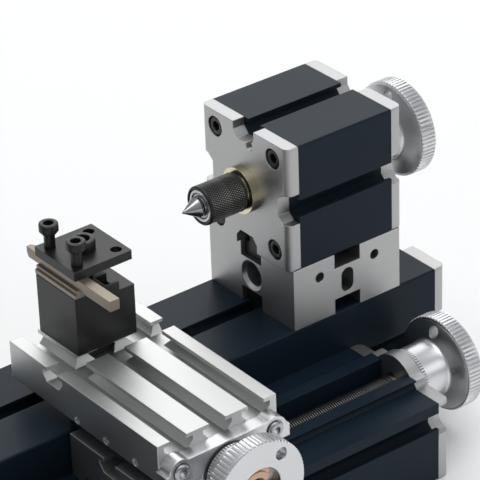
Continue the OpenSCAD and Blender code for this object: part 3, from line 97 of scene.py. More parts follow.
# Finishes: what each real surface is, and its pattern's sizes in mm along X, Y and Z.
# "ring" patterns run round an axis, as a lathe leaves them: across the radius, round it and along it.
FINISHES = {
    # The profile where it lies along the bed
    "anodised_aluminium_x": dict(ANODISED, grain=(40, 0.35, 0.35)),
    # The same profile where it lies across the bed, so its die lines run the other way
    "anodised_aluminium_y": dict(ANODISED, grain=(0.35, 40, 0.35)),
    # Bead-blasted aluminium plate: even matt grey with a fine sparkle
    "blasted_aluminium": dict(colour="plate", metallic=1.0, roughness=0.44, grain=(0.3, 0.3, 0.3),
        spread=0.10, depth=0.008, edge=0.4, worn=0.6),
    # Milled aluminium: bright, with the cutter's fine lines along the slots
    "finely_milled_aluminium": dict(colour="milled", metallic=1.0, roughness=0.42, grain=(0.5, 30, 0.5),
        spread=0.06, depth=0.002, edge=0.35, worn=0.3),
    # Turned aluminium: bright rings that draw highlights out round the axis
    "turned_aluminium": dict(colour="wheel", metallic=1.0, roughness=0.3, ring=(0.25, 0.5),
        spread=0.04, depth=0.0006, edge=0.2, anisotropic=0.5, worn=0.05),
    # Turned free-cutting steel: darker rings than aluminium, slightly sharper shine
    "turned_steel": dict(colour="steel", metallic=1.0, roughness=0.24, ring=(0.2, 0.4), spread=0.10,
        depth=0.003, edge=0.15, anisotropic=0.4, worn=0.05),
    # Leadscrew steel: bare crests and journals that glint; on the crests the bare steel is partly where the
    # nut rubs it and partly a painted highlight
    "rubbed_screw_steel": dict(colour="oiled", metallic=1.0, roughness=0.28, ring=(0.2, 0.4), spread=0.08,
        depth=0.002, edge=0.03, anisotropic=0.3, worn=0.0),
    # The leadscrews' flanks and roots: black with old oil
    "oiled_thread_steel": dict(colour="black_steel", metallic=0.4, roughness=0.35, grain=(0.3, 0.3, 0.3),
        spread=0.1, depth=0.002, edge=0.03, worn=0.0),
    # Ground bearing steel: near mirror, with hardly any grain
    "ground_steel": dict(colour="steel", metallic=1.0, roughness=0.14, ring=(0.15, 0.3), spread=0.06,
        depth=0.001, edge=0.1, anisotropic=0.2, worn=0.05),
    # Black-oxide steel: dark satin, with bare metal showing along the edges
    "black_oxide_steel": dict(colour="black_steel", metallic=0.55, roughness=0.36,
        grain=(0.5, 0.5, 0.5), spread=0.12, depth=0.004, edge=0.3, worn=0.35),
    # Black-oxide steel in the grooves of a diamond knurl: sharp edges, no wear down there
    "knurled_black_steel": dict(colour="black_steel", metallic=0.55, roughness=0.32,
        grain=(0.5, 0.5, 0.5), spread=0.08, depth=0.002, edge=0.03, worn=0.0),
    # The knurl's points: bare steel with small glints, partly where handling has rubbed the black off and
    # partly a painted highlight for the points' glints
    "rubbed_knurl_steel": dict(colour="rubbed", metallic=1.0, roughness=0.3,
        grain=(0.2, 0.2, 0.2), spread=0.1, depth=0.002, edge=0.03, worn=0.0),
    # Ground high-speed steel with a warm straw tint and grinding lines along its length
    "straw_tool_steel": dict(colour="tool_steel", metallic=0.75, roughness=0.36,
        grain=(0.25, 20, 0.25), spread=0.10, depth=0.003, edge=0.15, worn=0.15),
    # Turned brass: warm yellow rings
    "turned_brass": dict(colour="brass", metallic=1.0, roughness=0.24, ring=(0.2, 0.4), spread=0.10,
        depth=0.003, edge=0.15, anisotropic=0.4, worn=0.05),
    # Turned bronze: rose-coloured rings
    "turned_bronze": dict(colour="bronze", metallic=1.0, roughness=0.34, ring=(0.2, 0.4), spread=0.08,
        depth=0.003, edge=0.15, anisotropic=0.3, worn=0.05),
    # Polished aluminium: smooth and bright, with soft reflections and hardly any grain
    "polished_aluminium": dict(colour="wheel", metallic=1.0, roughness=0.35, grain=(1.2, 1.2, 1.2),
        spread=0.05, depth=0.001, edge=0.6, worn=0.1),
    # Zinc-plated steel: light grey with cloudy patches
    "zinc_plated_steel": dict(colour="zinc", metallic=1.0, roughness=0.3, grain=(1.5, 1.5, 1.5),
        spread=0.16, depth=0.003, edge=0.15, worn=0.05),
    # Moulded rubber: black, matt and faintly grainy
    "moulded_rubber": dict(colour="rubber", metallic=0.0, roughness=0.75, specular=0.35,
        grain=(0.3, 0.3, 0.3), spread=0.12, depth=0.02, edge=0.15, worn=0.0),
    # Moulded ABS: black with a fine sparked texture
    "moulded_abs": dict(colour="plastic", metallic=0.0, roughness=0.42, specular=0.5,
        grain=(0.25, 0.25, 0.25), spread=0.12, depth=0.01, edge=0.2, worn=0.0),
}

# Nodes that keep their own solid shape, with the finish of each
KEPT_NODES = {
    "anodised_aluminium_x": ("bed_extrusion", "head_extrusion", "motor_housing", "slide_body",
        "tail_extrusion"),
    "anodised_aluminium_y": ("cross_base",),
    "blasted_aluminium": ("bed_end_plates", "head_raising_block", "head_plates", "motor_plates",
        "slide_end_plates", "carriage", "tail_raising_block", "tail_plates"),
    "finely_milled_aluminium": ("cross_table",),
    "polished_aluminium": ("cross_end_plate",),
    "zinc_plated_steel": ("profile_connectors", "carriage_gib", "cross_gib"),
    "black_oxide_steel": ("tool_post", "clamp_plate", "tail_connectors", "sleeve_grub_screw",
        "chuck_jaw_1", "chuck_jaw_2", "chuck_jaw_3"),
    "straw_tool_steel": ("packing_strips", "tool_bit"),
    "moulded_abs": ("power_socket",),
}

# Round nodes that keep their shape: the finish, and whether they lie along X or Y
ROUND_NODES = {
    "turned_steel": ("spindle", "chuck_body", "motor", "motor_shaft", "switch_housing",
        "switch_lever"),
    "ground_steel": ("spindle_bearings", "quill", "centre_point"),
    "turned_aluminium": ("spindle_pulley", "motor_pulley"),
    "turned_brass": ("z_bushes", "carriage_nut", "cross_nut", "tail_bushes"),
}
NODES_ALONG_Y = ("cross_nut",)


def linear(hex_colour):
    """Turns an sRGB hex colour into linear red, green and blue."""
    parts = [int(hex_colour[i:i + 2], 16) / 255 for i in (1, 3, 5)]
    return [p / 12.92 if p <= 0.04045 else ((p + 0.055) / 1.055) ** 2.4 for p in parts]


def colour_prop(name, description, hex_colour):
    """A colour that the user can change, given as sRGB hex."""
    return bpy.props.FloatVectorProperty(name=name, description=description, subtype="COLOR",
        size=3, min=0, max=1, default=linear(hex_colour))


def length_prop(name, description, millimetres):
    """A length that the user can change, given in mm."""
    return bpy.props.FloatProperty(name=name, description=description, subtype="DISTANCE",
        unit="LENGTH", min=0, default=millimetres * MM)


class LatheColours(bpy.types.PropertyGroup):
    """Colours of the lathe's finishes."""
    anodised: colour_prop("Anodising", "Blue-black of the profiles", "#17242f")
    plate: colour_prop("Plates", "Bead-blasted aluminium of plates and blocks", "#b5b5b5")
    milled: colour_prop("Cross slide", "Milled aluminium of the cross slide", "#cacbca")
    wheel: colour_prop("Handwheels", "Turned aluminium of the handwheels", "#d8d9db")
    steel: colour_prop("Steel", "Bare steel of screws, spindle and quill", "#b6b7b9")
    black_steel: colour_prop("Black steel", "Oxide black of screws and tool post", "#2c2c2d")
    # Bare steel of the knurl's points: partly wear, partly painted highlight
    rubbed: colour_prop("Rubbed knurl", "Bare steel on the points of the sleeve's knurl", "#8a8984")
    # Bare steel of the leadscrews' crests: partly wear, partly painted highlight
    oiled: colour_prop("Leadscrew", "Bare steel of the leadscrews' crests", "#8f9092")
    bronze: colour_prop("Bronze", "Rose-coloured bronze of the wheels' ring nuts", "#c9a995")
    tool_steel: colour_prop("Tool bit", "Straw colour of the tool bit and its strips", "#8d8377")
    brass: colour_prop("Brass", "Pale brass of bushes and nuts", "#dcd3b6")
    zinc: colour_prop("Zinc", "Zinc plating of connectors and small screws", "#b4b6b9")
    rubber: colour_prop("Rubber", "Rubber of the drive belt", "#1b1b1c")
    plastic: colour_prop("Plastic", "Plastic of the power socket", "#1e1e20")
    # Painted shade in the dial's engraved lines, not a real fill
    graduation: colour_prop("Graduation", "Colour in the dial's engraved lines", "#6c6e70")
    floor: colour_prop("Floor", "Pale floor under the lathe", "#fdfdfd")


class LatheSizes(bpy.types.PropertyGroup):
    """Sizes of the detail that the solid model leaves plain."""
    rim_ridges: bpy.props.IntProperty(name="Rim ridges", min=24, max=120, default=72,
        description="Number of grip ridges round a handwheel's rim")
    rim_depth: length_prop("Rim ridge depth", "Depth of the grooves between the rim's ridges", 0.45)
    dial_lines: bpy.props.IntProperty(name="Dial lines", min=10, max=100, default=60,
        description="Number of engraved lines round a handwheel's hub")
    dial_depth: length_prop("Dial line depth", "Depth of the engraved lines", 0.18)
    thread_pitch: length_prop("Thread pitch", "Pitch of the leadscrews", 1.0)
    thread_depth: length_prop("Thread depth", "Depth of the leadscrews' threads", 0.55)
    knurl_pitch: length_prop("Knurl pitch", "Spacing of the diamond knurl's points", 0.98)
    knurl_depth: length_prop("Knurl depth", "Depth of the diamond knurl", 0.4)
    cog_pitch: length_prop("Belt cog pitch", "Spacing of the cogs on the belt's back", 2.0)
    cog_depth: length_prop("Belt cog depth", "Height of the cogs on the belt's back", 0.5)


def add(tree, kind, settings=None, links=None):
    """Adds a node with its settings, and fills its inputs from sockets or plain values."""
    node = tree.nodes.new(kind)
    for key, value in (settings or {}).items():
        setattr(node, key, value)
    for key, value in (links or {}).items():
        if isinstance(value, bpy.types.NodeSocket):
            tree.links.new(value, node.inputs[key])
        else:
            node.inputs[key].default_value = value
    return node


def finish(kind, axis="Z", centre=(0, 0, 0)):
    """The material of that finish. Ring patterns run round the axis through centre."""
    spec = FINISHES[kind]
    name = kind
    if "ring" in spec and (axis != "Z" or any(centre)):
        name = f"{kind}_{axis}_{'_'.join(str(round(c / MM)) for c in centre)}"
    if name in bpy.data.materials:
        return bpy.data.materials[name]
    material = bpy.data.materials.new(name)
    material.use_nodes = True
    tree = material.node_tree
    shader = tree.nodes["Principled BSDF"]
    colour = [*getattr(bpy.context.scene.lathe_colours, spec["colour"]), 1]
    place = add(tree, "ShaderNodeTexCoord").outputs["Object"]
    if "ring" in spec:
        across, along = spec["ring"]
        moved = add(tree, "ShaderNodeVectorMath", {"operation": "SUBTRACT"}, {0: place, 1: centre})
        part = add(tree, "ShaderNodeSeparateXYZ", None, {0: moved.outputs[0]})
        run = part.outputs[axis]
        sides = [part.outputs[other] for other in "XYZ" if other != axis]
        flat = add(tree, "ShaderNodeCombineXYZ", None, {0: sides[0], 1: sides[1]})
        radius = add(tree, "ShaderNodeVectorMath", {"operation": "LENGTH"}, {0: flat.outputs[0]})
        steps = [add(tree, "ShaderNodeMath", {"operation": "MULTIPLY"}, {0: value, 1: 1 / (size * MM)})
            for value, size in ((radius.outputs["Value"], across), (run, along))]
        pattern = add(tree, "ShaderNodeCombineXYZ", None,
            {0: steps[0].outputs[0], 2: steps[1].outputs[0]}).outputs[0]
        shader.inputs["Anisotropic"].default_value = spec["anisotropic"]
        tangent = add(tree, "ShaderNodeTangent", {"direction_type": "RADIAL", "axis": axis})
        tree.links.new(tangent.outputs[0], shader.inputs["Tangent"])
    else:
        scale = [1 / (size * MM) for size in spec["grain"]]
        pattern = add(tree, "ShaderNodeVectorMath", {"operation": "MULTIPLY"},
            {0: place, 1: scale}).outputs[0]
    grain = add(tree, "ShaderNodeTexNoise", None,
        {"Vector": pattern, "Scale": 1.0, "Detail": 3.0, "Roughness": 0.6}).outputs[0]
    # Cloudy patches a centimetre or two across, as handling leaves on any finish
    patches = add(tree, "ShaderNodeTexNoise", None,
        {"Vector": place, "Scale": 1 / (14 * MM), "Detail": 2.0}).outputs[0]
    both = add(tree, "ShaderNodeMix", {"data_type": "FLOAT"}, {0: 0.35, 2: grain, 3: patches})
    rough = add(tree, "ShaderNodeMapRange", None, {0: both.outputs[0], 1: 0.3, 2: 0.7,
        3: spec["roughness"] - spec["spread"] / 2, 4: spec["roughness"] + spec["spread"] / 2})
    tree.links.new(rough.outputs[0], shader.inputs["Roughness"])
    # Rounded edges: the real ones are broken by a few tenths of a millimetre
    bevel = add(tree, "ShaderNodeBevel", {"samples": 6}, {"Radius": spec["edge"] * MM})
    bump = add(tree, "ShaderNodeBump", None, {"Height": grain, "Strength": 0.6,
        "Distance": spec["depth"] * MM, "Normal": bevel.outputs[0]})
    tree.links.new(bump.outputs[0], shader.inputs["Normal"])
    # Colour: a little lighter and darker with the patches, and paler where edges are rubbed
    darker = [c * 0.88 for c in colour[:3]] + [1]
    lighter = [min(1, c * 1.1) for c in colour[:3]] + [1]
    tone = add(tree, "ShaderNodeMix", {"data_type": "RGBA"}, {0: both.outputs[0], 6: darker, 7: lighter})
    if spec["worn"]:
        facing = add(tree, "ShaderNodeNewGeometry").outputs["Normal"]
        meet = add(tree, "ShaderNodeVectorMath", {"operation": "DOT_PRODUCT"},
            {0: bevel.outputs[0], 1: facing})
        rubbed = add(tree, "ShaderNodeMapRange", None,
            {0: meet.outputs["Value"], 1: 0.995, 2: 0.88, 3: 0.0, 4: spec["worn"]})
        bare = [min(1, 0.18 + c) for c in colour[:3]] + [1]
        tone = add(tree, "ShaderNodeMix", {"data_type": "RGBA"},
            {0: rubbed.outputs[0], 6: tone.outputs[2], 7: bare})
    tree.links.new(tone.outputs[2], shader.inputs["Base Color"])
    shader.inputs["Metallic"].default_value = spec["metallic"]
    if "specular" in spec:
        shader.inputs["Specular IOR Level"].default_value = spec["specular"]
    return material


def shape(name, verts, faces, materials, place, marks=None, sharp=35):
    """A mesh piece from points and faces in its own frame, set at place. marks gives each face's slot."""
    mesh = bpy.data.meshes.new(name)
    mesh.from_pydata(verts, [], faces)
    if marks:
        mesh.polygons.foreach_set("material_index", marks)
    work = bmesh.new()
    work.from_mesh(mesh)
    bmesh.ops.remove_doubles(work, verts=work.verts, dist=1e-6)
    bmesh.ops.dissolve_degenerate(work, edges=work.edges, dist=1e-7)
    bmesh.ops.recalc_face_normals(work, faces=work.faces)
    work.to_mesh(mesh)
    work.free()
    for material in materials:
        mesh.materials.append(material)
    mesh.shade_smooth()
    mesh.set_sharp_from_angle(angle=math.radians(sharp))
    piece = bpy.data.objects.new(name, mesh)
    bpy.context.scene.collection.objects.link(piece)
    piece.matrix_world = place
    return piece


def turned(outline, steps, ripple=None, closed=False, mark=None):
    """Points and faces of an outline of (radius, height) turned about Z.

    ripple(radius, height, angle) gives the radius there; mark(height, angle) gives a face's slot."""
    verts, faces, marks = [], [], []
    for radius, height in outline:
        for i in range(steps):
            angle = TURN * i / steps
            r = ripple(radius, height, angle) if ripple else radius
            verts.append((r * math.cos(angle), r * math.sin(angle), height))
    rows = len(outline)
    for k in range(rows if closed else rows - 1):
        n = (k + 1) % rows
        for i in range(steps):
            j = (i + 1) % steps
            faces.append((k * steps + i, k * steps + j, n * steps + j, n * steps + i))
            middle = TURN * (i + 0.5) / steps
            marks.append(mark((outline[k][1] + outline[n][1]) / 2, middle) if mark else 0)
    return verts, faces, marks


def joined(*parts):
    """One list of points, faces and marks from several, each with the place it is set at."""
    verts, faces, marks = [], [], []
    for (part_verts, part_faces, part_marks), place in parts:
        start = len(verts)
        verts += [tuple(place @ Vector(v)) for v in part_verts]
        faces += [tuple(start + i for i in face) for face in part_faces]
        marks += part_marks
    return verts, faces, marks


def pointing(direction, at):
    """The place of a piece whose own Z points along direction, with its origin at that point."""
    turn = Vector((0, 0, 1)).rotation_difference(Vector(direction)).to_matrix().to_4x4()
    return Matrix.Translation(Vector(at)) @ turn


def cut(piece, tools):
    """Cuts tool meshes out of a piece and keeps the result as its mesh."""
    for tool in tools:
        step = piece.modifiers.new("cut", "BOOLEAN")
        step.operation = "DIFFERENCE"
        step.solver = "EXACT"
        step.object = tool
    graph = bpy.context.evaluated_depsgraph_get()
    mesh = bpy.data.meshes.new_from_object(piece.evaluated_get(graph))
    piece.modifiers.clear()
    piece.data = mesh
    mesh.shade_smooth()
    mesh.set_sharp_from_angle(angle=math.radians(35))
    for tool in tools:
        bpy.data.objects.remove(tool)


def dress(piece, body, slot, *nodes):
    """Sets a new piece on its body and hides the nodes that it stands for; slot, the finish's name, is not
    used.
    """
    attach(piece, body)
    if nodes:
        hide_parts(*nodes)


def node_axis(node, along):
    """A point on a round node's axis, which lies along X or Y."""
    low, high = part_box(node)
    middle = (low + high) / 2
    middle["XYZ".index(along)] = 0
    return tuple(middle)


def box_end(node, axis=0, side=0):
    """The middle of an end of a node's box: side 0 is the low end along that axis, 1 the high one."""
    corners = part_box(node)
    middle = (corners[0] + corners[1]) / 2
    middle[axis] = corners[side][axis]
    return middle


class LATHE_OT_finishes(bpy.types.Operator):
    """Gives every node that keeps its solid shape the finish of the real piece"""
    bl_idname = "lathe.finishes"
    bl_label = "Finishes of plain pieces"

    def execute(self, context):
        for kind, names in KEPT_NODES.items():
            for name in names:
                self.paint(name, finish(kind))
        for kind, names in ROUND_NODES.items():
            for name in names:
                along = "Y" if name in NODES_ALONG_Y else "X"
                self.paint(name, finish(kind, along, node_axis(name, along)))
        # The blocks' bores get their chamfers after the blasting, so these shine
        for name in ("head_raising_block", "tail_raising_block"):
            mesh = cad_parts[name].data
            mesh.materials.append(finish("turned_aluminium"))
            for face in mesh.polygons:
                if 0.3 < abs(face.normal.x) < 0.95:
                    face.material_index = 1
        return {"FINISHED"}

    def paint(self, name, material):
        """Puts one material in every slot of a node."""
        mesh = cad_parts[name].data
        mesh.materials.clear()
        mesh.materials.append(material)


def wheel_piece(name, hub_end, direction, turn, body, node):
    """A handwheel with a graduated hub, a knurled rim and a recessed face."""
    sizes = bpy.context.scene.lathe_sizes
    low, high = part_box(node)
    rim_r = max(high[i] - low[i] for i in range(3)) / 2
    face = min(high[i] - low[i] for i in range(3))
    rim = face - WHEEL_RIM_W
    hub = rim - WHEEL_CONE
    floor = face - WHEEL_RECESS_D
    band_r = rim_r - 1.1 * MM
    fillet_r, chamfer = 1.4 * MM, 0.3 * MM
    lines, ridges = sizes.dial_lines, sizes.rim_ridges
    # Half the width of a line, and where a groove starts and ends, as shares of their spacing
    line_half, groove_from, groove_to = 0.21, 0.3, 0.7

    def line_length(angle):
        count = angle / TURN * lines
        return DIAL_LINE if abs(count - round(count)) < line_half else 0

    def engraved(radius, height, angle):
        on_hub = abs(radius - WHEEL_HUB_R) < 0.01 * MM
        return radius - (sizes.dial_depth if on_hub and height < line_length(angle) else 0)

    def grooved(radius, height, angle):
        if radius < rim_r - 0.01 * MM:
            return radius
        share = (angle / TURN * ridges) % 1
        return radius - (sizes.rim_depth if groove_from < share < groove_to else 0)

    outline = [(SHAFT_R, 0), (WHEEL_HUB_R - chamfer, 0), (WHEEL_HUB_R, 0.25 * MM),
        (WHEEL_HUB_R, DIAL_LINE - 0.01 * MM), (WHEEL_HUB_R, DIAL_LINE + 0.01 * MM),
        (WHEEL_HUB_R, hub - fillet_r)]
    outline += [(WHEEL_HUB_R + fillet_r * (1 - math.cos(a)), hub - fillet_r * (1 - math.sin(a)))
        for a in [math.radians(15 * i) for i in range(1, 7)]]
    outline += [(band_r - 0.5 * MM, rim - 0.25 * MM), (band_r, rim), (band_r, face - 0.05 * MM),
        (band_r - chamfer, face), (WHEEL_RECESS_R + chamfer, face), (WHEEL_RECESS_R, face - chamfer),
        (WHEEL_RECESS_R, floor), (SHAFT_R, floor)]
    place = pointing(direction, hub_end) @ Matrix.Rotation(turn, 4, "Z")
    # Painted shade on the faces of the engraved lines
    groove_shade = graduation()
    metal = finish("turned_aluminium")
    data = turned(outline, lines * 10, engraved, True,
        lambda height, angle: 1 if 0 < height < line_length(angle) else 0)
    wheel = shape(name, data[0], data[1], [metal, groove_shade], place, data[2], 28)
    flare_r = WHEEL_HOLE_R + 0.35 * MM
    hole = turned([(0, 0), (WHEEL_HOLE_R, 0), (WHEEL_HOLE_R, hub - 0.02 * MM),
        (WHEEL_HOLE_R, face - chamfer), (flare_r, face + 0.05 * MM), (flare_r, face + 1 * MM),
        (0, face + 1 * MM)], 32)
    tool = shape("hole_tool", hole[0], hole[1], [metal],
        place @ Matrix.Translation((WHEEL_HOLE_AT, 0, 0.1 * MM)))
    cut(wheel, [tool])
    band = turned([(band_r - 0.4 * MM, rim + 0.05 * MM), (band_r, rim + 0.05 * MM),
        (rim_r - 0.3 * MM, rim + 0.12 * MM), (rim_r, rim + 0.5 * MM), (rim_r, face - 0.5 * MM),
        (rim_r - 0.45 * MM, face - 0.02 * MM), (band_r - 0.4 * MM, face - 0.02 * MM)],
        ridges * 10, grooved, True)
    rim_piece = shape(name + "_rim", band[0], band[1], [metal], place, None, 28)
    dress(wheel, body, "wheel_aluminium", node)
    dress(rim_piece, body, "wheel_aluminium")
    # In the recess: a slotted bronze ring nut round the black screw that holds the wheel
    nut_r, collar_r, bore_r, sunk = 8.2 * MM, 6.1 * MM, 3.6 * MM, 0.05 * MM
    nut_top, collar_top, slot_floor = floor + 2.2 * MM, floor + 2.9 * MM, floor + 1.2 * MM
    nut = turned([(bore_r, floor - sunk), (nut_r, floor - sunk), (nut_r, nut_top - chamfer),
        (nut_r - chamfer, nut_top), (collar_r, nut_top), (collar_r, collar_top),
        (bore_r + chamfer, collar_top), (bore_r, collar_top - chamfer)], 64, None, True)
    ring = shape(name + "_ring_nut", nut[0], nut[1], [finish("turned_bronze")], place)
    slots = []
    for k in range(2):
        slot_r, slot_top = 9 * MM, floor + 4 * MM
        box = turned([(0, slot_floor), (slot_r, slot_floor), (slot_r, slot_top), (0, slot_top)], 4)
        squeeze = Matrix.Rotation(TURN * k / 4, 4, "Z") @ Matrix.Diagonal((1, 0.12, 1, 1))
        slots.append(shape("slot_tool", box[0], box[1], [metal],
            place @ squeeze @ Matrix.Rotation(TURN / 8, 4, "Z")))
    cut(ring, slots)
    dress(ring, body, "brass")
    head = turned(screw_outline(head_r=3.0, head_h=2.0, socket=1.25, chamfer=0.5, depth=1.4), 48,
        hexagon(1.25))
    screw = shape(name + "_screw", head[0], head[1], [finish("black_oxide_steel")],
        place @ Matrix.Translation((0, 0, floor + 2 * MM)))
    dress(screw, body, "black_steel")


def patchy(name, colours, patch, roughness):
    """A matt material whose colour wanders between two near ones, in patches of that size in metres."""
    material = bpy.data.materials.new(name)
    material.use_nodes = True
    tree = material.node_tree
    shader = tree.nodes["Principled BSDF"]
    place = add(tree, "ShaderNodeTexCoord").outputs["Object"]
    noise = add(tree, "ShaderNodeTexNoise", None, {"Vector": place, "Scale": 1 / patch}).outputs[0]
    tone = add(tree, "ShaderNodeMix", {"data_type": "RGBA"},
        {0: noise, 6: [*colours[0], 1], 7: [*colours[1], 1]})
    tree.links.new(tone.outputs[2], shader.inputs["Base Color"])
    shader.inputs["Roughness"].default_value = roughness
    return material


def graduation():
    """Painted shade in the dial's engraved lines: dark grey and matt, a little uneven in patches."""
    name = "graduation_painted_shade"
    if name in bpy.data.materials:
        return bpy.data.materials[name]
    colour = bpy.context.scene.lathe_colours.graduation
    return patchy(name, (colour, [min(1, c * 1.8) for c in colour]), 1.5 * MM, 0.6)


def hexagon(across):
    """Ripple that bends the rows at the socket's radius, in mm, into a hexagon."""
    def bent(radius, height, angle):
        if abs(radius - across * MM) > 0.02 * MM:
            return radius
        return across * MM / math.cos((angle % (TURN / 6)) - TURN / 12) if radius else 0
    return bent


def screw_outline(head_r, head_h, socket, chamfer, depth, shank_r=1.5, shank=4.0, waist=0.0):
    """Outline of a socket-head screw in mm: the head's top lies at 0, its shank points down."""
    points = [(0, -depth - 0.35), (socket, -depth), (socket, -0.12), (socket + 0.2, 0),
        (head_r - chamfer, 0), (head_r - chamfer * 0.3, -chamfer * 0.3), (head_r, -chamfer),
        (head_r, -head_h + 0.15 + waist), (head_r - 0.15, -head_h + waist)]
    if waist:
        points += [(head_r - 0.7, -head_h + waist - 0.05), (head_r - 0.8, -head_h)]
    points += [(shank_r, -head_h), (shank_r, -head_h - shank + 0.4), (shank_r - 0.4, -head_h - shank),
        (0, -head_h - shank)]
    return [(r * MM, z * MM) for r, z in points]


class LATHE_OT_handwheels(bpy.types.Operator):
    """Builds the three handwheels with knurled rims, graduated hubs and their screws"""
    bl_idname = "lathe.handwheels"
    bl_label = "Handwheels"

    def execute(self, context):
        # Each wheel's hub end, the way it faces, and the turn that puts its hole where it is in the photo
        for name, end, direction, turn, body, node in (
                ("lengthwise_wheel", (0, 0), (1, 0, 0), math.radians(180), "z_wheel", "z_handwheel"),
                ("tailstock_wheel", (0, 0), (1, 0, 0), math.radians(180), "tail_wheel",
                    "tail_handwheel"),
                ("cross_slide_wheel", (1, 1), (0, -1, 0), math.radians(51), "cross_wheel",
                    "cross_handwheel")):
            wheel_piece(name, box_end(node, *end), direction, turn, body, node)
        return {"FINISHED"}


def thread(radius, start, end, pitch, depth):
    """Points, faces and marks of a helical thread along Z: 0 marks its crest, 1 its flanks and root."""
    steps, rows_a_turn = 24, 4
    rows = int((end - start) / pitch * rows_a_turn) - rows_a_turn
    verts, faces, marks = [], [], []
    for k in range(rows):
        r = radius if k % rows_a_turn < 2 else radius - depth
        for i in range(steps):
            angle = TURN * i / steps
            height = start + (k / rows_a_turn + i / steps) * pitch
            verts.append((r * math.cos(angle), r * math.sin(angle), height))
    for k in range(rows - 1):
        # Crest faces take the bare steel that is partly painted highlight; flanks and roots take the black
        dark = 0 if k % rows_a_turn == 0 else 1
        for i in range(steps):
            if i + 1 < steps or k + 1 + rows_a_turn < rows:
                marks.append(dark)
            here, above = k * steps + i, (k + 1) * steps + i
            if i + 1 < steps:
                faces.append((here, here + 1, above + 1, above))
            elif k + 1 + rows_a_turn < rows:
                turn_on = (k + rows_a_turn) * steps
                faces.append((here, turn_on, turn_on + steps, above))
    return verts, faces, marks


def screw_piece(name, radius, start, end, journals, place, body, node):
    """A leadscrew: its thread between start and end, and its plain journals as outlines."""
    sizes = bpy.context.scene.lathe_sizes
    parts = [(thread(radius, start, end, sizes.thread_pitch, sizes.thread_depth), Matrix.Identity(4))]
    parts += [(turned(outline, 48), Matrix.Identity(4)) for outline in journals]
    data = joined(*parts)
    coats = [finish("rubbed_screw_steel"), finish("oiled_thread_steel")]
    screw = shape(name, data[0], data[1], coats, place, data[2])
    dress(screw, body, "steel", node)


class LATHE_OT_leadscrews(bpy.types.Operator):
    """Builds the three leadscrews with real threads"""
    bl_idname = "lathe.leadscrews"
    bl_label = "Leadscrews"

    def execute(self, context):
        # The thread's ends taper onto journals; a core inside the thread closes it
        core, overlap, tip, chamfer = 0.6 * MM, 3 * MM, 0.3 * MM, 0.2 * MM

        low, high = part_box("z_leadscrew")
        length = high.x - low.x - END_HEAD_H
        body_low, body_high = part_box("slide_body")
        first, last = body_low.x + 1 * MM - low.x, body_high.x - 1 * MM - low.x
        r = (high.z - low.z) / 2
        screw_piece("lengthwise_leadscrew", r, first, last, [
            [(0, 0), (SHAFT_R - tip, 0), (SHAFT_R, tip), (SHAFT_R, first - 0.7 * MM), (r - core, first),
                (r - core, first + overlap), (0, first + overlap)],
            [(0, last - overlap), (r - core, last - overlap), (r - core, last),
                (SHAFT_R, last + 0.7 * MM), (SHAFT_R, length), (0, length)]],
            pointing((1, 0, 0), box_end("z_leadscrew")), "z_wheel", "z_leadscrew")

        low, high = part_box("tail_screw")
        length = high.x - low.x - END_HEAD_H
        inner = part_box("tail_plates")[1].x - PLATE_T - low.x
        collar = (high.z - low.z) / 2
        left, right = inner - 4 * MM, inner - 0.3 * MM
        r = TAIL_THREAD_R
        blunt_end = [(0, 0), (r - core, 0.1 * MM), (r - core, overlap), (0, overlap)]
        screw_piece("tailstock_leadscrew", r, tip, left - 1 * MM, [blunt_end,
            [(0, left - 4 * MM), (r - core, left - 4 * MM), (r - core, left), (collar - chamfer, left),
                (collar, left + chamfer), (collar, right - chamfer), (collar - chamfer, right),
                (SHAFT_R, right), (SHAFT_R, length), (0, length)]],
            pointing((1, 0, 0), box_end("tail_screw")), "tail_wheel", "tail_screw")

        low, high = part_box("cross_leadscrew")
        length = high.y - low.y - END_HEAD_H
        last = high.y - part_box("cross_table")[0].y - 0.8 * MM
        screw_piece("cross_leadscrew_threaded", r, tip, last, [blunt_end,
            [(0, last - overlap), (r - core, last - overlap), (r - core, last),
                (SHAFT_R, last + 0.5 * MM), (SHAFT_R, length), (0, length)]],
            pointing((0, -1, 0), box_end("cross_leadscrew", 1, 1)), "cross_wheel", "cross_leadscrew")
        return {"FINISHED"}


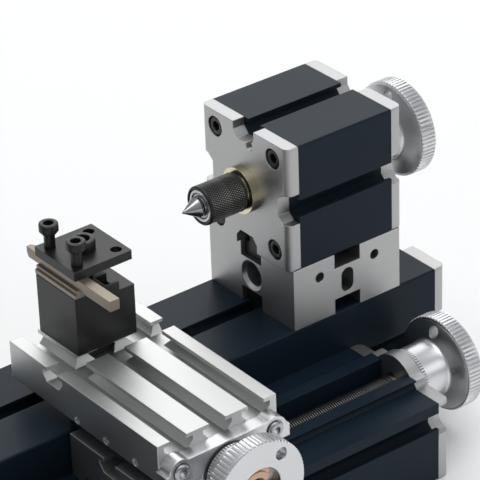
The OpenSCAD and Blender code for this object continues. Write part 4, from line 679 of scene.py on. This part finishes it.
class LATHE_OT_live_centre(bpy.types.Operator):
    """Builds the live centre's knurled sleeve and its ball bearings"""
    bl_idname = "lathe.live_centre"
    bl_label = "Live centre"

    def execute(self, context):
        sizes = context.scene.lathe_sizes
        low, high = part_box("centre_sleeve")
        radius, length = (high.z - low.z) / 2, high.x - low.x
        place = pointing((1, 0, 0), box_end("centre_sleeve"))
        around = round(TURN * radius / sizes.knurl_pitch)
        # Diamonds are longer than wide; their points are bare over the upper part of their height, partly
        # rubbed and partly a painted highlight
        slope, rubbed_from, rows_a_point = 0.62, 0.55, 5
        edge = 0.9 * MM

        def point_height(height, angle):
            turn, rise = angle / TURN * around, (height - edge) / sizes.knurl_pitch * slope
            return min(abs(((turn + s * rise) % 1) * 2 - 1) for s in (-1, 1))

        def knurled(r, height, angle):
            if r < radius - 0.01 * MM or not edge < height < length - edge:
                return r
            return r - sizes.knurl_depth * (1 - point_height(height, angle))

        # The points' upper part takes the bare steel: partly wear, partly painted highlight
        def rubbed(height, angle):
            on_knurl = edge < height < length - edge
            return 1 if on_knurl and point_height(height, angle) > rubbed_from else 0

        span = length - 2 * edge
        count = round(span / sizes.knurl_pitch * rows_a_point)
        break_w, seat = 0.4 * MM, 4 * MM
        outline = [(SLEEVE_BORE_R, break_w), (SLEEVE_BORE_R + 0.3 * MM, 0), (radius - 0.5 * MM, 0),
            (radius - 0.1 * MM, break_w)]
        outline += [(radius, edge + span * i / count) for i in range(count + 1)]
        outline += [(radius - 0.1 * MM, length - break_w), (radius - break_w, length),
            (QUILL_R, length), (QUILL_R, length - seat), (SLEEVE_BORE_R, length - seat - 1 * MM)]
        data = turned(outline, around * 6, knurled, True, rubbed)
        coats = [finish("knurled_black_steel"), finish("rubbed_knurl_steel")]
        sleeve = shape("knurled_sleeve", data[0], data[1], coats, place, data[2], 20)
        dress(sleeve, "quill", "black_steel", "centre_sleeve")
        # Two ball bearings: outer ring, pressed steel shield and inner ring, with chamfered edges
        low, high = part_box("centre_bearings")
        outer, inner = (high.z - low.z) / 2, POINT_SHANK_R
        width, c, sunk, lip = 3.7 * MM, 0.2 * MM, 0.45 * MM, 0.25 * MM
        rings, shields = [], []
        for start in (0, BEARING_PITCH):
            end = start + width
            for a, b in ((outer - 1.3 * MM, outer), (inner, inner + 1.1 * MM)):
                outline = [(a + c, start), (b - c, start), (b, start + c), (b, end - c),
                    (b - c, end), (a + c, end), (a, end - c), (a, start + c)]
                rings.append((turned(outline, 64, None, True), Matrix.Identity(4)))
            a, b = inner + 1.3 * MM, outer - 1.5 * MM
            shield = [(a, start + sunk), (a + 0.3 * MM, start + lip), (b - 0.2 * MM, start + lip),
                (b, start + sunk), (b, end - sunk), (a, end - sunk)]
            shields.append((turned(shield, 64, None, True), Matrix.Identity(4)))
        place = pointing((1, 0, 0), box_end("centre_bearings"))
        for name, parts, kind, nodes in (
                ("centre_bearing_rings", rings, "ground_steel", ["centre_bearings"]),
                ("centre_bearing_shields", shields, "zinc_plated_steel", [])):
            data = joined(*parts)
            piece = shape(name, data[0], data[1], [finish(kind)], place)
            dress(piece, "quill", "bearing_steel", *nodes)
        return {"FINISHED"}


def screw_set(name, places, outline, ripple, body, node):
    """One piece with a black screw at each place, standing for a node."""
    data = joined(*[(turned(outline, 48, ripple), place) for place in places])
    piece = shape(name, data[0], data[1], [finish("black_oxide_steel")], Matrix.Identity(4))
    dress(piece, body, "black_steel", node)


def plate_places(node):
    """Head tops of the four screws in each of the two end plates of a node."""
    low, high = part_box(node)
    middle = (low + high) / 2
    return [pointing((sign, 0, 0), (x, middle.y + y, middle.z + z))
        for x, sign in ((low.x + HEAD_SUNK, -1), (high.x - HEAD_SUNK, 1))
        for y in (-PLATE_SCREW_SIDE, PLATE_SCREW_SIDE) for z in (-PLATE_SCREW_UP, PLATE_SCREW_UP)]


class LATHE_OT_socket_screws(bpy.types.Operator):
    """Builds the socket-head screws of the plates, the clamp and the tool post"""
    bl_idname = "lathe.socket_screws"
    bl_label = "Socket-head screws"

    def execute(self, context):
        socket, bolt_socket = 1.75, 2.5
        plate_screw = screw_outline(head_r=3.5, head_h=4.0, socket=socket, chamfer=0.3, depth=2.4,
            shank_r=2.0, shank=12.0)
        screw_set("tailstock_plate_screws", plate_places("tail_plates"), plate_screw, hexagon(socket),
            "tailstock", "tail_plate_screws")
        places = [place for node in ("bed_end_plates", "head_plates", "motor_plates")
            for place in plate_places(node)]
        low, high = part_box("slide_end_plates")
        y = (low.y + high.y) / 2
        for x, sign in ((low.x + HEAD_SUNK, -1), (high.x - HEAD_SUNK, 1)):
            for side, z in ((PLATE_SCREW_SIDE, PROFILE_HALF - PLATE_SCREW_UP),
                    (SLIDE_SCREW_SIDE, SLIDE_SCREW_UP)):
                places += [pointing((sign, 0, 0), (x, y + s * side, z)) for s in (-1, 1)]
        screw_set("fixed_plate_screws", places, plate_screw, hexagon(socket), "bed", "plate_screws")
        # Clamp screws stand high, with a collar under the head
        low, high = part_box("clamp_screws")
        head_r, head_h = 3.5, 4.0
        clamp = screw_outline(head_r, head_h, socket, chamfer=0.5, depth=2.2, shank_r=2.0,
            shank=(high.z - low.z) / MM - head_h, waist=0.9)
        x = (low.x + high.x) / 2
        places = [pointing((0, 0, 1), (x, y, high.z))
            for y in (low.y + head_r * MM, high.y - head_r * MM)]
        screw_set("clamp_socket_screws", places, clamp, hexagon(socket), "tool_holder", "clamp_screws")
        # The centre bolt, with the nut that it pulls up in the table's slot
        low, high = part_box("post_bolt")
        middle = (low + high) / 2
        head_h = 4.0
        bolt = screw_outline(4.5, head_h, bolt_socket, chamfer=0.6, depth=2.5, shank_r=3.0,
            shank=(high.z - low.z) / MM - head_h)
        top = (turned(bolt, 48, hexagon(bolt_socket)), pointing((0, 0, 1), (middle.x, middle.y, high.z)))
        wing, foot, c, half_length = 5.8 * MM, 3.4 * MM, 0.4 * MM, 7 * MM
        table_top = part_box("cross_table")[1].z
        step_z, wing_z = table_top - 3.2 * MM, table_top - 1.45 * MM
        section = [(-foot, low.z), (foot, low.z), (wing, step_z), (wing, wing_z - c), (wing - c, wing_z),
            (c - wing, wing_z), (-wing, wing_z - c), (-wing, step_z)]
        verts = [(middle.x + x, middle.y + s * half_length, z) for s in (-1, 1) for x, z in section]
        n = len(section)
        faces = [tuple(range(n)), tuple(range(2 * n - 1, n - 1, -1))]
        faces += [(i, (i + 1) % n, n + (i + 1) % n, n + i) for i in range(n)]
        data = joined(top, ((verts, faces, [0] * len(faces)), Matrix.Identity(4)))
        piece = shape("centre_bolt", data[0], data[1], [finish("black_oxide_steel")], Matrix.Identity(4))
        dress(piece, "cross_table", "black_steel", "post_bolt")
        return {"FINISHED"}


class LATHE_OT_cross_head_screws(bpy.types.Operator):
    """Builds the two pan-head screws of the cross slide's end plate"""
    bl_idname = "lathe.cross_head_screws"
    bl_label = "Cross-head screws"

    def execute(self, context):
        low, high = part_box("cross_plate_screws")
        z = (low.z + high.z) / 2
        head_r, head_h, dome_h, shank_r = 3.1 * MM, 2.2 * MM, 0.9 * MM, 1.5 * MM
        slot_r, slot_d, slot_turn = 2.9 * MM, 1.5 * MM, math.radians(20)
        above = 0.5 * MM
        dome = [(head_r * math.sin(a), dome_h * math.cos(a) - head_h + 1.3 * MM)
            for a in [math.radians(9 * i) for i in range(11)]]
        shank = [(head_r, -head_h), (shank_r, -head_h), (shank_r, low.y - high.y), (0, low.y - high.y)]
        head = turned(dome + shank, 48)
        blade = turned([(0, -slot_d), (1.5 * MM, -slot_d), (slot_r, above), (0, above)], 4)
        zinc = finish("zinc_plated_steel")
        for side, x in (("left", low.x + head_r), ("right", high.x - head_r)):
            place = pointing((0, -1, 0), (x, low.y, z))
            screw = shape(f"pan_screw_{side}", head[0], head[1], [zinc], place)
            tools = []
            for k in range(2):
                narrow = Matrix.Rotation(TURN * k / 4 + slot_turn, 4, "Z") @ Matrix.Diagonal((1, 0.2, 1, 1))
                tools.append(shape("cross_tool", blade[0], blade[1], [zinc],
                    place @ narrow @ Matrix.Rotation(TURN / 8, 4, "Z")))
            cut(screw, tools)
            dress(screw, "cross_table", "steel", *(["cross_plate_screws"] if side == "left" else []))
        return {"FINISHED"}


class LATHE_OT_chuck(bpy.types.Operator):
    """Builds the chuck's knurled ring with its bar holes"""
    bl_idname = "lathe.chuck"
    bl_label = "Chuck ring"

    def execute(self, context):
        low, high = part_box("chuck_scroll")
        radius, width, bore = (high.z - low.z) / 2, high.x - low.x, 11.05 * MM
        ridges, edge, knurl_rise, knurl_depth = 90, 2 * MM, 1.4 * MM, 0.35 * MM
        rows, bevel = 24, 0.6 * MM
        bar_r, bar_length, bar_in = 2 * MM, 14 * MM, 8 * MM

        def knurled(r, height, angle):
            if r < radius - 0.01 * MM or not edge < height < width - edge:
                return r
            rise = (height - edge) / knurl_rise
            turn = angle / TURN * ridges
            waves = [abs(((turn + s * rise) % 1) * 2 - 1) for s in (-1, 1)]
            return r - knurl_depth * (1 - min(waves))

        outline = [(bore, 0), (radius - bevel, 0), (radius, bevel), (radius, edge)]
        outline += [(radius, edge + (width - 2 * edge) * i / rows) for i in range(1, rows)]
        outline += [(radius, width - edge), (radius, width - bevel), (radius - bevel, width),
            (bore, width)]
        data = turned(outline, ridges * 4, knurled, True)
        place = pointing((1, 0, 0), box_end("chuck_scroll"))
        steel = finish("turned_steel")
        ring = shape("scroll_ring", data[0], data[1], [steel], place, None, 60)
        rod = turned([(0, 0), (bar_r, 0), (bar_r, bar_length), (0, bar_length)], 24)
        tools = []
        for k in range(4):
            turn = Matrix.Rotation(TURN * (k + 0.5) / 4, 4, "Z")
            turn = turn @ Matrix.Translation((radius - bar_in, 0, width / 2))
            tools.append(shape("bar_hole", rod[0], rod[1], [steel],
                place @ turn @ Matrix.Rotation(TURN / 4, 4, "Y")))
        cut(ring, tools)
        dress(ring, "scroll", "chuck_steel", "chuck_scroll")
        return {"FINISHED"}


class LATHE_OT_drive_belt(bpy.types.Operator):
    """Builds the cogged drive belt round its two pulleys"""
    bl_idname = "lathe.drive_belt"
    bl_label = "Drive belt"

    def execute(self, context):
        sizes = context.scene.lathe_sizes
        low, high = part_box("drive_belt")
        big = (high.z - low.z) / 2
        small_low, small_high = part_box("motor_pulley")
        big_low, big_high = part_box("spindle_pulley")
        flange = 2.2 * MM
        small = (small_high.z - small_low.z) / 2 - flange + BELT_T
        y0, y1 = (big_low.y + big_high.y) / 2, (small_low.y + small_high.y) / 2
        z = (low.z + high.z) / 2
        reach = y1 - y0
        tilt = math.acos((big - small) / reach)
        # Four runs of the belt's back: the length of each, and at both its ends the place between the
        # pulleys, from 0 at the large one to 1 at the small one, and the outward angle
        straight = reach * math.sin(tilt)
        runs = ((big * (TURN - 2 * tilt), 0, 0, tilt, TURN - tilt), (straight, 0, 1, -tilt, -tilt),
            (small * 2 * tilt, 1, 1, -tilt, tilt), (straight, 1, 0, tilt, tilt))
        total = sum(run[0] for run in runs)
        samples = round(total / sizes.cog_pitch) * 4
        points = []
        for k in range(samples):
            s = total * k / samples
            for length, from_t, to_t, from_a, to_a in runs:
                if s < length:
                    break
                s -= length
            t = from_t + (to_t - from_t) * s / length
            a = from_a + (to_a - from_a) * s / length
            r = big + (small - big) * t
            points.append((y0 + reach * t + r * math.cos(a), z + r * math.sin(a), a))
        verts, faces = [], []
        inner = BELT_T - 0.17 * MM
        for k, (y, h, a) in enumerate(points):
            back = sizes.cog_depth if k % 4 >= 2 else 0
            for x, drop in ((low.x, inner), (low.x, back), (high.x, back), (high.x, inner)):
                verts.append((x, y - drop * math.cos(a), h - drop * math.sin(a)))
        for k in range(samples):
            n = (k + 1) % samples
            for i in range(4):
                j = (i + 1) % 4
                faces.append((k * 4 + i, k * 4 + j, n * 4 + j, n * 4 + i))
        belt = shape("cogged_belt", verts, faces, [finish("moulded_rubber")], Matrix.Identity(4))
        dress(belt, "bed", "belt_rubber", "drive_belt")
        return {"FINISHED"}


class LATHE_OT_stage(bpy.types.Operator):
    """Builds the pale floor, the soft lights and the camera"""
    bl_idname = "lathe.stage"
    bl_label = "Floor, lights and camera"

    def execute(self, context):
        scene = context.scene
        # Painted floor: pale, matt and even, so that only the lathe's soft shadow shows on it
        colour = scene.lathe_colours.floor
        material = patchy("matt_painted_floor", ([c * 0.985 for c in colour], colour), 2 * MM, 0.9)
        shader = material.node_tree.nodes["Principled BSDF"]
        shader.inputs["Specular IOR Level"].default_value = 0.1
        half = 12.0
        floor = shape("floor", [(-half, -half, 0), (half, -half, 0), (half, half, 0), (-half, half, 0)],
            [(0, 1, 2, 3)], [material], Matrix.Translation((0, 0, -0.5 * MM)))
        # Softboxes: their place and size in metres and their power in watts, all turned to the lathe
        target = Vector((0.03, -0.01, 0.07))
        for name, at, size, power in (
                ("top_softbox", (0.1, 0.0, 1.5), 1.4, 12),
                ("back_softbox", (0.95, 1.25, 0.95), 1.3, 9),
                ("front_softbox", (0.9, -1.5, 0.9), 0.9, 3)):
            light = bpy.data.lights.new(name, "AREA")
            light.shape = "SQUARE"
            light.size = size
            light.energy = power
            lamp = bpy.data.objects.new(name, light)
            scene.collection.objects.link(lamp)
            lamp.location = at
            lamp.rotation_euler = (target - Vector(at)).to_track_quat("-Z", "Y").to_euler()
            lamp.visible_camera = False
        world = bpy.data.worlds.new("studio")
        scene.world = world
        world.use_nodes = True
        tree = world.node_tree
        way = add(tree, "ShaderNodeTexCoord").outputs["Generated"]
        up = add(tree, "ShaderNodeSeparateXYZ", None, {0: way}).outputs["Z"]
        level = add(tree, "ShaderNodeMapRange", None, {0: up, 1: -0.1, 2: 0.9, 3: 0.2, 4: 0.5})
        tree.links.new(level.outputs[0], tree.nodes["Background"].inputs["Strength"])
        tree.nodes["Background"].inputs["Color"].default_value = (0.96, 0.98, 1.0, 1)
        camera_data = bpy.data.cameras.new("camera")
        camera_data.lens = CAMERA_LENS
        camera_data.sensor_width = CAMERA_FILM
        camera_data.clip_start, camera_data.clip_end = 0.05, 50
        camera = bpy.data.objects.new("camera", camera_data)
        scene.collection.objects.link(camera)
        ahead = Vector((math.cos(CAMERA_DIP) * math.cos(CAMERA_TURN),
            math.cos(CAMERA_DIP) * math.sin(CAMERA_TURN), -math.sin(CAMERA_DIP)))
        right = ahead.cross(Vector((0, 0, 1))).normalized()
        above = right.cross(ahead)
        c, s = math.cos(CAMERA_ROLL), math.sin(CAMERA_ROLL)
        turn = Matrix((c * right + s * above, c * above - s * right, -ahead)).transposed()
        camera.matrix_world = Matrix.Translation(CAMERA_PLACE) @ turn.to_4x4()
        scene.camera = camera
        scene.view_settings.view_transform = "Standard"
        return {"FINISHED"}


# The operators in the order in which they run
STEPS = (LATHE_OT_finishes, LATHE_OT_handwheels, LATHE_OT_leadscrews, LATHE_OT_live_centre,
    LATHE_OT_socket_screws, LATHE_OT_cross_head_screws, LATHE_OT_chuck, LATHE_OT_drive_belt,
    LATHE_OT_stage)


class LATHE_PT_panel(bpy.types.Panel):
    """Lists the lathe's pieces, sizes and colours"""
    bl_idname = "LATHE_PT_panel"
    bl_label = "Mini metal lathe"
    bl_space_type = "VIEW_3D"
    bl_region_type = "UI"
    bl_category = "Lathe"

    def draw(self, context):
        column = self.layout.column(align=True)
        for step in STEPS:
            column.operator(step.bl_idname, text=step.bl_label)
        for group in (context.scene.lathe_sizes, context.scene.lathe_colours):
            box = self.layout.box()
            for key in group.bl_rna.properties.keys():
                if key not in ("rna_type", "name"):
                    box.prop(group, key)


CLASSES = (LatheColours, LatheSizes) + STEPS + (LATHE_PT_panel,)


def register():
    for item in CLASSES:
        bpy.utils.register_class(item)
    bpy.types.Scene.lathe_colours = bpy.props.PointerProperty(type=LatheColours)
    bpy.types.Scene.lathe_sizes = bpy.props.PointerProperty(type=LatheSizes)


def unregister():
    del bpy.types.Scene.lathe_sizes
    del bpy.types.Scene.lathe_colours
    for item in reversed(CLASSES):
        bpy.utils.unregister_class(item)


def main():
    register()
    for step in STEPS:
        group, name = step.bl_idname.split(".")
        getattr(getattr(bpy.ops, group), name)()


if __name__ == "__main__":
    main()
